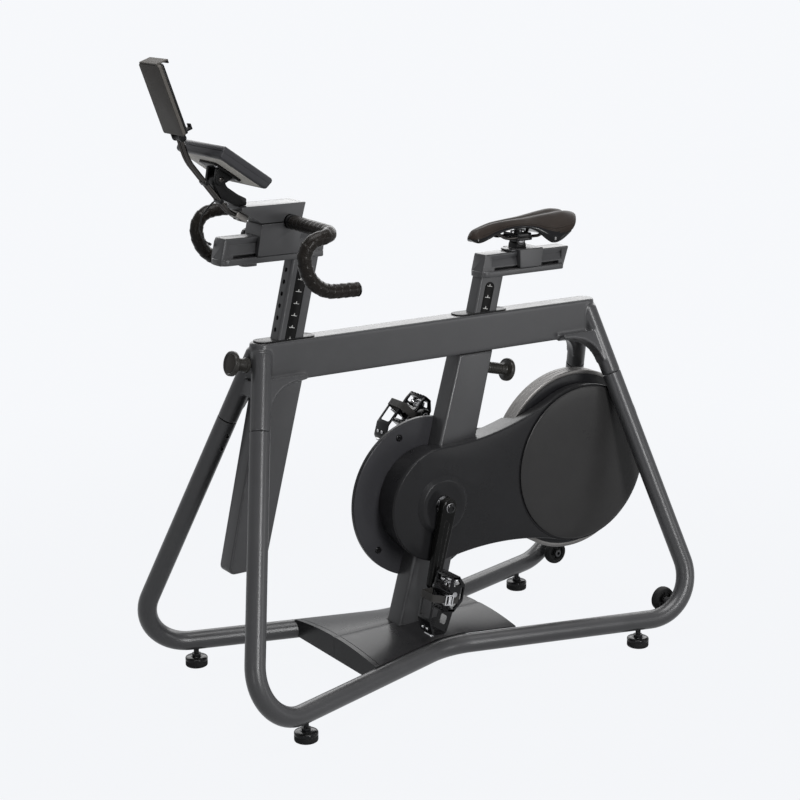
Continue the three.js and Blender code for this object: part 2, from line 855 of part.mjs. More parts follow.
const armY = seatTubeWidth / 2 + gap;
const pulleyOuterY = pulleyInnerY + beltWidth;
const crankArmInnerY = leftCasingFace + bossHeight + crankArmClearance;
const crankArmOuterY = crankArmInnerY + crankArmThickness;

function addBottomBracket() {
  const reach = armY + driveArmThickness;
  const shell = bracketDiameter / 2;
  const bore = spindleDiameter / 2 + turnGap;
  const profile = [[bore, -reach], [shell, -reach], [shell, reach], [bore, reach]];
  const place = groupAt(bike, 0, 0, crankHeight);
  addPiece(place, "bottom_bracket", turned(profile, 16), "steel");
}

function addDriveArms() {
  const eye = flywheelShaftDiameter / 2 + driveArmEyeWall;
  const high = crankHeight + driveArmFrontHalf;
  const shape = roundedShape([
    [flywheelX - eye, flywheelHeight - eye, eye],
    [flywheelX + driveArmTaperLength, flywheelHeight - eye - driveArmTaperDrop],
    [-driveArmFront, crankHeight - driveArmFrontHalf, driveArmRounding],
    [-driveArmFront, high, driveArmRounding],
    [-driveArmFront - driveArmShoulder, high + driveArmShoulderRise, driveArmRounding],
    [flywheelX - eye, flywheelHeight + eye, eye],
  ]);
  for (const [name, side] of Object.entries(sides)) {
    const edges = [side * armY, side * (armY + driveArmThickness)].sort((a, b) => a - b);
    const plate = solidOf(sidePrism(shape, ...edges));
    const hole = flywheelShaftDiameter + 2 * turnGap;
    const bore = crossRod(flywheelX, flywheelHeight, edges[0] - 1, edges[1] + 1, hole);
    addPiece(bike, name + "_drive_arm", without(plate, bore), "steel");
  }
}

function addBrakeMagnet() {
  const rim = flywheelX + flywheelDiameter / 2;
  const magnet = box(rim + 8, rim + 58, gap - armY, 12, crankHeight - 20, crankHeight + 30);
  addPiece(bike, "brake_magnet", magnet, "blackPlastic");
}

// The outline that a belt of some thickness makes round both pulleys.
function beltOutline(offset) {
  const crank = crankPulleyDiameter / 2 + offset;
  const small = flywheelPulleyDiameter / 2 + offset;
  const span = Math.hypot(flywheelX, flywheelHeight - crankHeight);
  const lean = Math.atan2(flywheelHeight - crankHeight, flywheelX);
  const open = Math.acos((crank - small) / span);
  const shape = new THREE.Shape();
  shape.absarc(0, crankHeight, crank, lean + open, lean - open + 2 * Math.PI, false);
  shape.absarc(flywheelX, flywheelHeight, small, lean - open, lean + open, false);
  shape.closePath();
  return shape;
}

function addDriveBelt() {
  const inner = beltOutline(2 * gap);
  const outer = beltOutline(2 * gap + beltThickness);
  const low = pulleyInnerY + 1;
  const band = solidOf(sidePrism(outer, low, pulleyOuterY - 1, 0, 12));
  addPiece(bike, "drive_belt", without(band, sidePrism(inner, 0, 99, 0, 12)), "rubber");
}

function addCrankSpindle() {
  const radius = spindleDiameter / 2;
  const end = crankArmOuterY + 3;
  const pulley = crankPulleyDiameter / 2;
  const profile = [
    [0, -end],
    [radius, -end],
    [radius, pulleyInnerY],
    [pulley, pulleyInnerY],
    [pulley, pulleyOuterY],
    [radius, pulleyOuterY],
    [radius, end],
    [0, end],
  ];
  const place = groupAt(bike, 0, 0, crankHeight);
  addPiece(place, "crank_spindle", turned(profile, 20), "steel");
}

// A bar with a round eye at each end, from the origin down to length.
function armShape(length) {
  const eye = crankEyeDiameter / 2;
  const tip = crankTipDiameter / 2;
  const lean = Math.asin((eye - tip) / length);
  const shape = new THREE.Shape();
  shape.absarc(0, 0, eye, -lean, Math.PI + lean, false);
  shape.absarc(0, -length, tip, Math.PI + lean, 2 * Math.PI - lean, false);
  shape.closePath();
  return shape;
}

function addCrankArms() {
  const tips = {};
  for (const [name, side] of Object.entries(sides)) {
    const turn = side > 0 ? -crankLean : Math.PI - crankLean;
    const place = groupAt(bike, 0, 0, crankHeight, turn);
    const edges = [side * crankArmInnerY, side * crankArmOuterY].sort((a, b) => a - b);
    const bar = sidePrism(armShape(crankLength), ...edges, 3, 4);
    const end = side * (crankArmOuterY + 12 + pedalWidth);
    const axle = rod(
      point(0, side * (crankArmInnerY + 3), -crankLength),
      point(0, end, -crankLength),
      pedalAxleDiameter,
    );
    const shoulder = rod(
      point(0, side * crankArmInnerY + side * 3, -crankLength),
      point(0, side * (crankArmOuterY + 4), -crankLength),
      pedalAxleDiameter + 6,
    );
    const bore = crossRod(0, 0, -200, 200, spindleDiameter + 2 * gap);
    const arm = without(joined(bar, axle, shoulder), bore);
    addPiece(place, name + "_crank_arm", arm, "blackPlastic");
    tips[name] = point(0, 0, -crankLength).applyEuler(place.rotation).add(place.position);
  }
  return tips;
}

function pedalBody() {
  const half = pedalLength / 2;
  const low = crankArmOuterY + 8;
  const high = low + pedalWidth;
  const thick = pedalThickness / 2;
  const bars = [
    box(half - 10, half, low, high, -thick, thick),
    box(-half, 10 - half, low, high, -thick, thick),
    box(-half, half, low, low + 7, 2 - thick, thick - 2),
    box(-half, half, high - 7, high, 2 - thick, thick - 2),
    crossRod(0, 0, low, high, 2 * thick + 4, 10),
  ];
  return { solid: joined(...bars), low, high };
}

// The toe cage: a bent strap from under the pedal's front, round the toe and back over the foot.
function toeCage(low, high) {
  const front = pedalLength / 2 + gap;
  const under = -pedalThickness / 2;
  const outline = (inset) => roundedShape([
    [front + inset, under + inset],
    [front + toeCageReach - 4 - inset, under + 8 + inset, 14],
    [front + toeCageReach - inset, 30 - inset, 12],
    [front + 26, toeCageHeight - inset, 10],
    [front - 30, toeCageHeight - inset],
    [front - 30, 18],
    [front + inset, 14],
  ]);
  const strap = solidOf(sidePrism(outline(0), low + 8, high - 8));
  const window = box(front + 12, front + 90, low + 22, high - 22, -90, 26);
  return without(
    strap,
    sidePrism(outline(toeCageWall), low, high),
    box(front - 60, front + toeCageWall, low, high, 14, toeCageHeight - toeCageWall - 1),
    window,
  );
}

function addPedals(tips) {
  const pitches = { left: leftPedalPitch, right: rightPedalPitch };
  for (const [name, side] of Object.entries(sides)) {
    const tip = tips[name];
    const place = groupAt(bike, tip.x, 0, tip.z, pitches[name]);
    const { solid, low, high } = pedalBody();
    const bore = crossRod(0, 0, low - 9, high + 1, pedalAxleDiameter + 2 * turnGap);
    const mirror = (shape) => (side > 0 ? shape : shape.mirror([0, 1, 0]));
    addPiece(place, name + "_pedal", mirror(without(solid, bore)), "blackPlastic");
    addPiece(place, name + "_toe_cage", mirror(toeCage(low, high)), "blackPlastic");
  }
}

function addFlywheel() {
  const half = flywheelWidth / 2;
  const outer = flywheelDiameter / 2;
  const rim = outer - flywheelRimDepth;
  const bore = flywheelShaftDiameter / 2 + gap;
  const hub = armY - gap - 1;
  const profile = [
    [bore, -hub],
    [38, -hub],
    [38, -7],
    [rim, -7],
    [rim, -half],
    [outer, -half],
    [outer, half],
    [rim, half],
    [rim, 7],
    [38, 7],
    [38, hub],
    [bore, hub],
  ];
  const place = groupAt(bike, flywheelX, 0, flywheelHeight);
  addPiece(place, "flywheel", turned(profile, 36), "steel");
  const radius = flywheelShaftDiameter / 2;
  const pulley = flywheelPulleyDiameter / 2;
  const shaft = [
    [0, -armY - driveArmThickness - 4],
    [radius, -armY - driveArmThickness - 4],
    [radius, pulleyInnerY],
    [pulley, pulleyInnerY],
    [pulley, pulleyOuterY],
    [0, pulleyOuterY],
  ];
  addPiece(place, "flywheel_shaft", turned(shaft, 16), "steel");
}

// ---- casings ----

// Two discs, round the crank and round the flywheel, joined by concave curves.
function casingShape(crankRadius, wheelRadius, waistRadius, inset = 0) {
  const a = new THREE.Vector2(0, crankHeight);
  const b = new THREE.Vector2(flywheelX, flywheelHeight);
  const ra = crankRadius - inset;
  const rb = wheelRadius - inset;
  const rw = waistRadius + inset;
  const span = a.distanceTo(b);
  const lean = Math.atan2(b.y - a.y, b.x - a.x);
  const turn = Math.acos(((ra + rw) ** 2 + span ** 2 - (rb + rw) ** 2) / (2 * (ra + rw) * span));
  const upper = new THREE.Vector2(Math.cos(lean - turn), Math.sin(lean - turn));
  const lower = new THREE.Vector2(Math.cos(lean + turn), Math.sin(lean + turn));
  upper.multiplyScalar(ra + rw).add(a);
  lower.multiplyScalar(ra + rw).add(a);
  const angle = (from, to) => Math.atan2(to.y - from.y, to.x - from.x);
  const shape = new THREE.Shape();
  shape.absarc(a.x, a.y, ra, angle(a, lower), angle(a, upper), false);
  shape.absarc(upper.x, upper.y, rw, angle(upper, a), angle(upper, b), true);
  shape.absarc(b.x, b.y, rb, angle(b, upper), angle(b, lower), false);
  shape.absarc(lower.x, lower.y, rw, angle(lower, b), angle(lower, a), true);
  shape.closePath();
  return shape;
}

function crankBoss(face, outward) {
  const radius = bossDiameter / 2;
  const profile = [
    [0, -1],
    [radius, -1],
    [radius, 1],
    [radius - 10, bossHeight],
    [0, bossHeight],
  ];
  const boss = turned(profile, 20);
  if (outward < 0) boss.rotateX(Math.PI);
  return boss.translate(0, face, crankHeight);
}

function addLeftCasing() {
  const radii = [leftCrankRadius, leftFlywheelRadius, casingWaistRadius];
  const form = (face, back, inset) => taperedPrism(
    casingShape(...radii, inset), face, back, leftCasingTaper, casingRimWidth, 8,
  );
  const room = form(leftCasingFace - casingWall, leftCasingBack - 1, casingWall);
  const shell = form(leftCasingFace, leftCasingBack, 0).subtract(room);
  const clearance = flywheelDiameter + 10;
  const cuts = [
    crossRod(flywheelX, flywheelHeight, -99, flywheelWidth / 2 + 5, clearance, 36),
    grownSeatTube(gap),
    crossRod(0, crankHeight, leftCasingBack - 50, leftCasingFace + 50, crankOpening, 20),
  ];
  const boss = solidOf(crankBoss(leftCasingFace, 1));
  addPiece(bike, "left_casing", without(shell.add(boss), ...cuts), "darkPlastic");
}

function addLeftDisc() {
  const radius = leftDiscDiameter / 2;
  const profile = [
    [0, gap],
    [radius - 3, gap],
    [radius, gap + 1.2],
    [radius * 0.7, leftDiscDome - 1.5],
    [0, leftDiscDome],
  ];
  const place = groupAt(bike, flywheelX, leftCasingFace, flywheelHeight);
  addPiece(place, "left_disc_cover", turned(profile, 32), "darkPlastic");
}

function addRightCasing() {
  const radii = [rightCrankRadius, rightFlywheelRadius, rightWaistRadius];
  const form = (back, face, inset) => taperedPrism(
    casingShape(...radii, inset), back, face, rightCasingTaper, casingRimWidth + back - rightCasingBack, 8,
  );
  const room = form(0, rightCasingFace + casingWall, casingWall);
  const shell = form(rightCasingBack, rightCasingFace, 0).subtract(room);
  const boss = solidOf(crankBoss(rightCasingFace, -1));
  const cuts = [
    crossRod(0, crankHeight, -99, 0, crankOpening, 20),
    grownSeatTube(gap),
  ];
  addPiece(bike, "right_casing", without(shell.add(boss), ...cuts), "darkPlastic");
}

// The plate that closes the right casing's front disc towards the left.
function addRightPlate() {
  const low = rightCasingBack + gap;
  const plate = crossRod(0, crankHeight, low, low + casingWall, 2 * rightCrankRadius, 48);
  const cuts = [
    crossRod(flywheelX, flywheelHeight, -99, 99, flywheelDiameter + 16, 36),
    crossRod(0, crankHeight, -99, 99, bracketHousing + 2, 24),
    grownSeatTube(gap),
  ];
  const front = without(solidOf(plate), ...cuts).decompose();
  front.sort((a, b) => b.volume() - a.volume());
  addPiece(bike, "right_casing_plate", front[0], "darkPlastic");
}

// ---- pull knobs ----

// A spring-loaded pull knob in the post's frame, with its pin pointing back at the post.
function knobProfile(reach, shankDiameter, shankLength) {
  const pin = knobPinDiameter / 2;
  const shank = shankDiameter / 2;
  const disc = knobDiameter / 2;
  const tip = postDepth / 2 + slideGap;
  const collar = reach + shankLength;
  return [
    [0, tip],
    [pin, tip],
    [pin, reach + gap],
    [shank, reach + gap],
    [shank, collar],
    [disc - 2, collar + 1],
    [disc, collar + 3],
    [disc, collar + knobThickness - 3],
    [disc - 4, collar + knobThickness],
    [0, collar + knobThickness + 1],
  ];
}

function addKnob(name, postX, drop, outward, profile) {
  const place = tiltedGroup(postX);
  const knob = turned(profile, 16)
    .rotateZ(-outward * Math.PI / 2)
    .translate(0, 0, -drop);
  addPiece(place, name, knob, "blackPlastic");
}

function addKnobs() {
  const front = knobProfile(frontKnobReach(), frontKnobShankDiameter, frontKnobShankLength);
  addKnob("front_pull_knob", handlebarPostX, frontKnobDrop, 1, front);
  const rear = knobProfile(seatTubeRearReach, rearKnobShankDiameter, rearKnobShankLength);
  addKnob("rear_pull_knob", seatPostX, rearKnobDrop, -1, rear);
}

// ---- posts and rails ----

function addPost(name, postX, insert, railBottom, holesSide) {
  const place = tiltedGroup(postX);
  const halfDepth = postDepth / 2;
  const halfWidth = postWidth / 2;
  const plan = rectangle(-halfDepth, -halfWidth, halfDepth, halfWidth, postRounding);
  const top = alongPost(railBottom - gap) + halfDepth;
  const trim = box(-far, far, -far, far, railBottom - gap, railBottom + far)
    .translate(-postX, 0, -beamTop)
    .rotateY(postTilt);
  const slotTop = alongPost(railBottom) - scaleTopMargin;
  const strip = (inset, low, high) => {
    const half = scaleWidth / 2 - inset;
    const ends = [20 - insert + inset, slotTop - inset];
    return sidePrism(
      rectangle(scaleShift - half, ends[0], scaleShift + half, ends[1], half), low, high,
    );
  };
  const slot = strip(0, halfWidth - scaleThickness - gap, halfWidth + 1);
  const holes = [];
  for (let along = 30 - insert; along < slotTop; along += indexPitch) {
    const from = point(holesSide * (halfDepth - indexHoleDepth), 0, along);
    const to = point(holesSide * (halfDepth + 1), 0, along);
    holes.push(rod(from, to, indexHoleDiameter, 6));
  }
  const post = without(solidOf(uprightPrism(plan, -insert, top, 0, 2)), trim, slot, ...holes);
  addPiece(place, name + "_post", post, "graphite");
  const scale = strip(gap, halfWidth - scaleThickness, halfWidth);
  addPiece(place, name + "_scale", scale, "blackPlastic");
}

// A slide rail: a wide ledge below and a narrower bar above, with chamfered top edges.
function railSolid(side, low, high) {
  const ledge = railLedgeWidth / 2;
  const half = railWidth / 2;
  const bar = sidePrism(side, -half, half, 3);
  const trim = box(-far, far, -far, far, low + railLedgeHeight, high + far);
  return solidOf(bar).add(without(solidOf(sidePrism(side, -ledge, ledge, 2)), trim));
}

function addHandlebarRail() {
  const top = handlebarRailTop;
  const shape = roundedShape([
    [handlebarRailRear, handlebarRailBottom],
    [handlebarRailFront, handlebarRailBottom],
    [handlebarRailFront - handlebarRailSetback + 4, top - 8],
    [handlebarRailFront - handlebarRailSetback, top],
    [handlebarRailRear - 6, top],
  ]);
  const rail = railSolid(shape, handlebarRailBottom, top);
  addPiece(bike, "handlebar_rail", rail, "graphite");
}

function addSeatRail() {
  const top = seatRailTop;
  const slant = seatRailHeight * Math.tan(postTilt);
  const shape = roundedShape([
    [seatRailFront, seatRailBottom],
    [seatRailFront - slant, top],
    [seatRailRear, top],
    [seatRailRear + 1.4 * slant, seatRailBottom],
  ]);
  const rail = railSolid(shape, seatRailBottom, top);
  addPiece(bike, "seat_rail", rail, "graphite");
}

// ---- handlebar slider ----

function addSlider() {
  const floor = handlebarRailBottom + railLedgeHeight + sliderFloorGap;
  const railTop = handlebarRailTop;
  const shape = roundedShape([
    [sliderRear + 8, floor],
    [sliderFront + 8, floor],
    [sliderFront - 4, clampHeight - gap / 2],
    [sliderRear, clampHeight - gap / 2],
  ]);
  const half = sliderWidth / 2;
  const block = solidOf(sidePrism(shape, -half, half, 3));
  const channel = railWidth / 2 + slideGap;
  const cuts = [
    box(sliderRear - 50, sliderFront + 50, -channel, channel, floor - 1, railTop + slideGap),
    crossRod(clampX, clampHeight, -half - 1, half + 1, barDiameter + 2 * gap, 20),
  ];
  addPiece(bike, "handlebar_slider", without(block, ...cuts), "graphite");
}

// The cap's slanted nose, which carries the tablet stalk, as a line in X and Z.
function capNose() {
  const start = new THREE.Vector2(sliderFront - 4, clampHeight + gap / 2);
  const end = new THREE.Vector2(capFront, capTop - 8);
  const along = end.clone().sub(start).normalize();
  return { start, end, normal: new THREE.Vector2(along.y, -along.x) };
}

function addSliderCap() {
  const { start, end } = capNose();
  const shape = roundedShape([
    [sliderRear, start.y],
    [start.x, start.y],
    [end.x, end.y],
    [capFront - 2, capTop],
    [sliderRear - 10, capTop],
  ]);
  const half = sliderWidth / 2;
  const block = solidOf(sidePrism(shape, -half, half, 2));
  const bore = crossRod(clampX, clampHeight, -half - 1, half + 1, barDiameter + 2 * gap, 20);
  addPiece(bike, "slider_cap", without(block, bore), "graphite");
}

function addHandlebar() {
  const hook = clampX + barReach;
  const low = clampHeight - barDrop;
  const half = [
    point(clampX, barStraight / 2, clampHeight),
    point(clampX + barSweep, barHalfWidth, clampHeight),
    point(hook, barHalfWidth, clampHeight - 12),
    point(hook - 14, barHalfWidth, low + 3),
    point(barEndX, barHalfWidth, low),
  ];
  const mirrored = half.map((corner) => toSide(corner, -1)).reverse();
  const radii = [barLowerRadius, barUpperRadius, barCornerRadius, barBlendRadius];
  const path = new BentPath([...mirrored, ...half], [...radii, ...radii.slice().reverse()], 4);
  addPiece(bike, "handlebar", tubeAlong(path, barDiameter, 10), "tape");
}

function addSliderKnob() {
  const y = -sliderWidth / 2;
  const height = handlebarRailTop - 6;
  const profile = [
    [0, gap],
    [5, gap],
    [5, 5],
    [13, 6],
    [13, 17],
    [10, 19],
    [0, 19],
  ];
  const place = groupAt(bike, sliderFront - 12, y, height);
  addPiece(place, "slider_knob", turned(profile, 16).rotateX(Math.PI), "blackPlastic");
}

// ---- console and tablet holder ----

function addConsole() {
  const place = groupAt(bike, consolePivotX, 0, consolePivotHeight, -consoleTilt);
  const half = consoleLength / 2;
  const low = consoleOffset;
  const high = consoleOffset + consoleThickness;
  const shape = roundedShape([
    [-half + 6, low, 7],
    [half - 4, low, 7],
    [half, high - 6],
    [half - 4, high],
    [-half, high, 7],
  ]);
  const wide = consoleWidth / 2;
  const slab = solidOf(sidePrism(shape, -wide, wide, 4));
  const screenHalf = half - 12;
  const recess = rectangle(-screenHalf, 14 - wide, screenHalf, wide - 14, 5);
  const shell = without(slab, uprightPrism(recess, high - 2.5, high + 1, 0, 2));
  addPiece(place, "console_shell", shell, "darkPlastic");
  const glass = rectangle(gap - screenHalf, 14 + gap - wide, screenHalf - gap, wide - 14 - gap, 5);
  const screen = uprightPrism(glass, high - 2.5 + gap, high - 0.5, 0, 2);
  addPiece(place, "console_screen", screen, "glass");
  const cheek = armWidth / 2 + turnGap;
  const plate = box(-34, 34, -36, 36, low - gap - 5, low - gap);
  const ears = [-1, 1].map((side) => {
    const edges = [side * cheek, side * (cheek + 6)].sort((a, b) => a - b);
    const eye = crossRod(0, 0, ...edges, 20, 16);
    return solidOf(box(-10, 10, ...edges, 0, low - gap - 4)).add(solidOf(eye));
  });
  const bracket = ears.reduce((whole, ear) => whole.add(ear), solidOf(plate));
  const bore = crossRod(0, 0, -50, 50, 8 + 2 * turnGap, 12);
  addPiece(place, "console_bracket", without(bracket, bore), "blackPlastic");
}

function addConsoleArm() {
  const foot = point(capFront - 10, 0, capTop + gap);
  const pivot = point(consolePivotX, 0, consolePivotHeight);
  const half = armWidth / 2;
  const shape = roundedShape([
    [foot.x - 12, foot.z],
    [foot.x + 8, foot.z],
    [foot.x + 10, foot.z + 8, 2],
    [pivot.x + armThickness / 2, pivot.z, 2],
    [pivot.x - armThickness / 2, pivot.z, 2],
    [foot.x - 12, foot.z + 8, 2],
  ]);
  const eye = crossRod(pivot.x, pivot.z, -half, half, armThickness, 16);
  const pin = crossRod(pivot.x, pivot.z, -half - 8, half + 8, 8, 12);
  addPiece(bike, "console_arm", joined(sidePrism(shape, -half, half), eye, pin), "blackPlastic");
}

function addTabletStalk() {
  const pivot = point(tabletPivotX, 0, tabletPivotHeight);
  const { start, end, normal } = capNose();
  const onNose = (share, out) => start.clone().lerp(end, share).addScaledVector(normal, out);
  const root = onNose(stalkRootShare, stalkRootReach);
  const rods = [-1, 1].map((side) => {
    const y = (side * stalkSpacing) / 2;
    const corners = [
      point(root.x, y, root.y),
      point(root.x + stalkFirstRun, y, root.y + stalkFirstRise),
      point(tabletPivotX - stalkNeckSetback, y, tabletPivotHeight - stalkNeckHeight),
      pivot.clone().setY(y),
    ];
    const bends = [stalkLowerBend, stalkUpperBend];
    return tubeAlong(new BentPath(corners, bends, 4), stalkDiameter, 8);
  });
  const barrel = crossRod(pivot.x, pivot.z, -12, 12, 14, 14);
  const pin = crossRod(pivot.x, pivot.z, -18, 18, 7, 12);
  const deep = stalkClampDepth;
  const corners = [onNose(0.45, gap), onNose(0.45, deep), onNose(0.95, deep), onNose(0.95, gap)];
  const clamp = sidePrism(roundedShape(corners.map(({ x, y }) => [x, y])), -16, 16);
  addPiece(bike, "tablet_stalk", joined(...rods, barrel, pin, clamp), "chrome");
}

function addTabletHolder() {
  const place = groupAt(bike, tabletPivotX, 0, tabletPivotHeight, tabletTilt);
  const low = 9;
  const high = low + tabletLength;
  const thick = tabletThickness;
  const half = tabletWidth / 2;
  const face = roundedShape([
    [-3, low],
    [thick - 3, low, 3],
    [thick - 3, high, 3],
    [-3, high],
  ]);
  const ears = [-1, 1].map((side) => {
    const edges = [side * 12.5, side * 17.5].sort((a, b) => a - b);
    const eye = crossRod(0, 0, ...edges, 15, 14);
    return solidOf(box(-3, 6, ...edges, 0, low + 2)).add(solidOf(eye));
  });
  const plate = ears.reduce((whole, ear) => whole.add(ear), solidOf(sidePrism(face, -half, half, 1)));
  const bore = crossRod(0, 0, -30, 30, 7 + 2 * turnGap, 12);
  const middle = (thick - 6) / 2;
  const upright = (y, length, diameter) => {
    return rod(point(middle, y, high - length), point(middle, y, high + 1), diameter, 8);
  };
  const pinY = half / 2;
  const sockets = [-pinY, pinY].map((y) => upright(y, clipPinLength + 2, clipPinDiameter + 2 * gap));
  addPiece(place, "tablet_plate", without(plate, bore, ...sockets), "darkPlastic");
  const lip = -tabletLipDepth - tabletLipThickness;
  const wide = half - 6;
  const clip = joined(
    upright(-pinY, clipPinLength, clipPinDiameter),
    upright(pinY, clipPinLength, clipPinDiameter),
    box(lip, thick - 3, -wide, wide, high + gap, high + gap + tabletLipThickness),
    box(lip, -tabletLipDepth, -wide, wide, high - 5, high + gap + tabletLipThickness),
  );
  addPiece(place, "tablet_clip", clip, "darkPlastic");
  const hook = joined(
    box(lip, -3 - gap, half - 20, half - 6, low + 4, low + 4 + 2 * tabletLipThickness),
    box(lip, -tabletLipDepth, half - 20, half - 6, low + 4, low + 16),
  );
  addPiece(place, "tablet_hook", hook, "blackPlastic");
}

// The console's lead: from the console arm round in front of the slider to the rail's front end.
function addCable() {
  const start = point(cableExitX, -armWidth / 2 - cableExitGap, cableExitHeight);
  const middle = point(cableFrontX, -cableSideReach, cableFrontHeight);
  const end = point(cableEndX, -railWidth / 2 - cableEndGap, cableEndHeight);
  const between = (from, to, along, out, down) => {
    return point(
      from.x + (to.x - from.x) * along,
      from.y + (to.y - from.y) * out,
      from.z + (to.z - from.z) * down,
    );
  };
  const route = [
    start,
    between(start, middle, 0.565, 0.396, 0.27),
    between(start, middle, 0.891, 0.879, 0.622),
    middle,
    between(middle, end, 0.385, 0.356, 0.714),
    end,
  ];
  const path = new THREE.CatmullRomCurve3(route);
  addPiece(bike, "console_cable", tubeAlong(path, cableDiameter, 8, 16), "blackPlastic");
}

// ---- saddle ----

function addCarriage() {
  const floor = seatRailBottom + railLedgeHeight + sliderFloorGap;
  const railTop = seatRailTop;
  const half = sliderWidth / 2;
  const channel = railWidth / 2 + slideGap;
  const top = railTop + slideGap + 5;
  const barrel = saddleBarrelDiameter / 2;
  const shape = roundedShape([
    [carriageRear + 4, floor],
    [carriageFront - 2, floor],
    [carriageFront, top],
    [carriageRear, top],
  ]);
  const stub = box(
    saddlePivotX - barrel - 2, saddlePivotX + barrel + 2, -15, 15, top - 1, saddlePivotHeight - 4,
  );
  const block = joined(sidePrism(shape, -half, half, 2), stub);
  const cuts = [
    box(carriageRear - 50, carriageFront + 50, -channel, channel, floor - 1, railTop + slideGap),
    crossRod(saddlePivotX, saddlePivotHeight, -50, 50, saddleBarrelDiameter + 2 * turnGap, 20),
  ];
  addPiece(bike, "seat_carriage", without(block, ...cuts), "graphite");
}

function addCarriageLever() {
  const railTop = seatRailTop;
  const low = railTop + slideGap + leverClearance;
  const round = leverThickness / 2;
  const hinge = carriageFront + gap + round;
  const shape = roundedShape([
    [hinge, -leverWidth / 2],
    [carriageFront + leverLength, -leverWidth / 2, 6],
    [carriageFront + leverLength, leverWidth / 2, 6],
    [hinge, leverWidth / 2],
  ]);
  const tab = uprightPrism(shape, low, low + leverThickness, 0, 3);
  const barrel = crossRod(hinge, low + round, -leverWidth / 2, leverWidth / 2, leverThickness, 12);
  addPiece(bike, "seat_lever", joined(tab, barrel), "steel");
}

function saddleRailPath() {
  const level = saddlePivotHeight + saddleRailRise;
  const noseX = saddleNoseX - saddleRailNoseSetback;
  const tailX = saddleTailX + saddleRailTailSetback;
  const half = [
    point(noseX, saddleRailNoseSpread, level + saddleRailNoseRise),
    point(saddlePivotX + saddleRailFrontReach, saddleRailFrontSpread, level),
    point(saddlePivotX - saddleRailRearReach, saddleRailRearSpread, level),
    point(tailX, saddleRailTailSpread, level + saddleRailTailRise),
  ];
  const mirrored = half.map((corner) => toSide(corner, -1)).reverse();
  const [bend, slight] = [saddleRailBend, saddleRailSlightBend];
  return new BentPath([...mirrored, ...half], [bend, bend, slight, slight, bend, bend], 3);
}

function addSaddleFittings() {
  const rails = (growth) => tubeAlong(saddleRailPath(), saddleRailDiameter + 2 * growth, 8);
  addPiece(bike, "saddle_rails", rails(0), "steel");
  const half = saddleClampHalf;
  const low = saddlePivotHeight + saddleClampFloor;
  const barrel = crossRod(saddlePivotX, saddlePivotHeight, -15, 15, saddleBarrelDiameter, 20);
  const block = box(
    saddlePivotX - half, saddlePivotX + half, -saddleClampHalfWidth, saddleClampHalfWidth,
    low, low + saddleClampHeight,
  );
  addPiece(bike, "saddle_clamp", without(joined(barrel, block), rails(gap)), "blackPlastic");
}

// Saddle section stations: share of the length from the nose, half-width, top and lower edge.
const saddleStations = [
  [0, 8, -38, -48],
  [0.03, 17, -31, -52],
  [0.1, 21, -23, -50],
  [0.22, 23, -15, -38],
  [0.38, 28, -11, -29],
  [0.52, 41, -9, -31],
  [0.66, 58, -5, -52],
  [0.76, 69, -2, -61],
  [0.87, 72, 0, -56],
  [0.96, 62, -4, -40],
  [1, 44, -10, -30],
];

function saddleRing([share, halfWidth, top, edge]) {
  const x = saddleNoseX + (saddleTailX - saddleNoseX) * share;
  const w = (halfWidth * saddleHalfWidth) / 72;
  const z = (drop) => saddleTopHeight + drop;
  const shell = Math.min(14, (top - edge) * 0.45);
  const right = [
    [0.12, top - 3],
    [0.42, top],
    [0.78, top - 4],
    [0.97, top - shell],
    [1, (top - shell + edge) / 2],
    [0.9, edge],
    [0.62, edge + 3],
  ];
  const half = right.map(([s, drop]) => [x, s * w, z(drop)]);
  const other = half.map(([a, b, c]) => [a, -b, c]).reverse();
  const under = z(Math.min(top - shell - 4, edge + 20));
  return [...half, [x, 0.3 * w, under], [x, -0.3 * w, under], ...other];
}

function addSaddle() {
  const rings = saddleStations.map(saddleRing);
  const skin = solidOf(loft(rings));
  const rails = tubeAlong(saddleRailPath(), saddleRailDiameter + 2 * gap, 8);
  addPiece(bike, "saddle", without(skin, rails), "leather");
}

// ---- assembly ----

addMainBeam();
addSideTubes();
addCollars();
addHandlebarSleeve();
addSeatTube();
addBaseBridge();
addBaseCovers();
addFeet();
addWheels();
addBottomBracket();
addDriveArms();
addBrakeMagnet();
addDriveBelt();
addCrankSpindle();
addPedals(addCrankArms());
addFlywheel();
addLeftCasing();
addLeftDisc();
addRightCasing();
addRightPlate();
addKnobs();
addPost("handlebar", handlebarPostX, handlebarPostInsert, handlebarRailBottom, 1);
addPost("seat", seatPostX, seatPostInsert, seatRailBottom, -1);
addHandlebarRail();
addSeatRail();
addSlider();
addSliderCap();
addSliderKnob();
addHandlebar();
addConsole();
addConsoleArm();
addTabletStalk();
addTabletHolder();
addCable();
addCarriage();
addCarriageLever();
addSaddleFittings();
addSaddle();

// The origin is on the floor under the middle of the bike's length.
const bounds = new THREE.Box3().setFromObject(bike);
bike.position.x = -(bounds.min.x + bounds.max.x) / 2;

export default bike;
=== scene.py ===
import bpy
import bmesh
import json
import math
from mathutils import Matrix, Vector

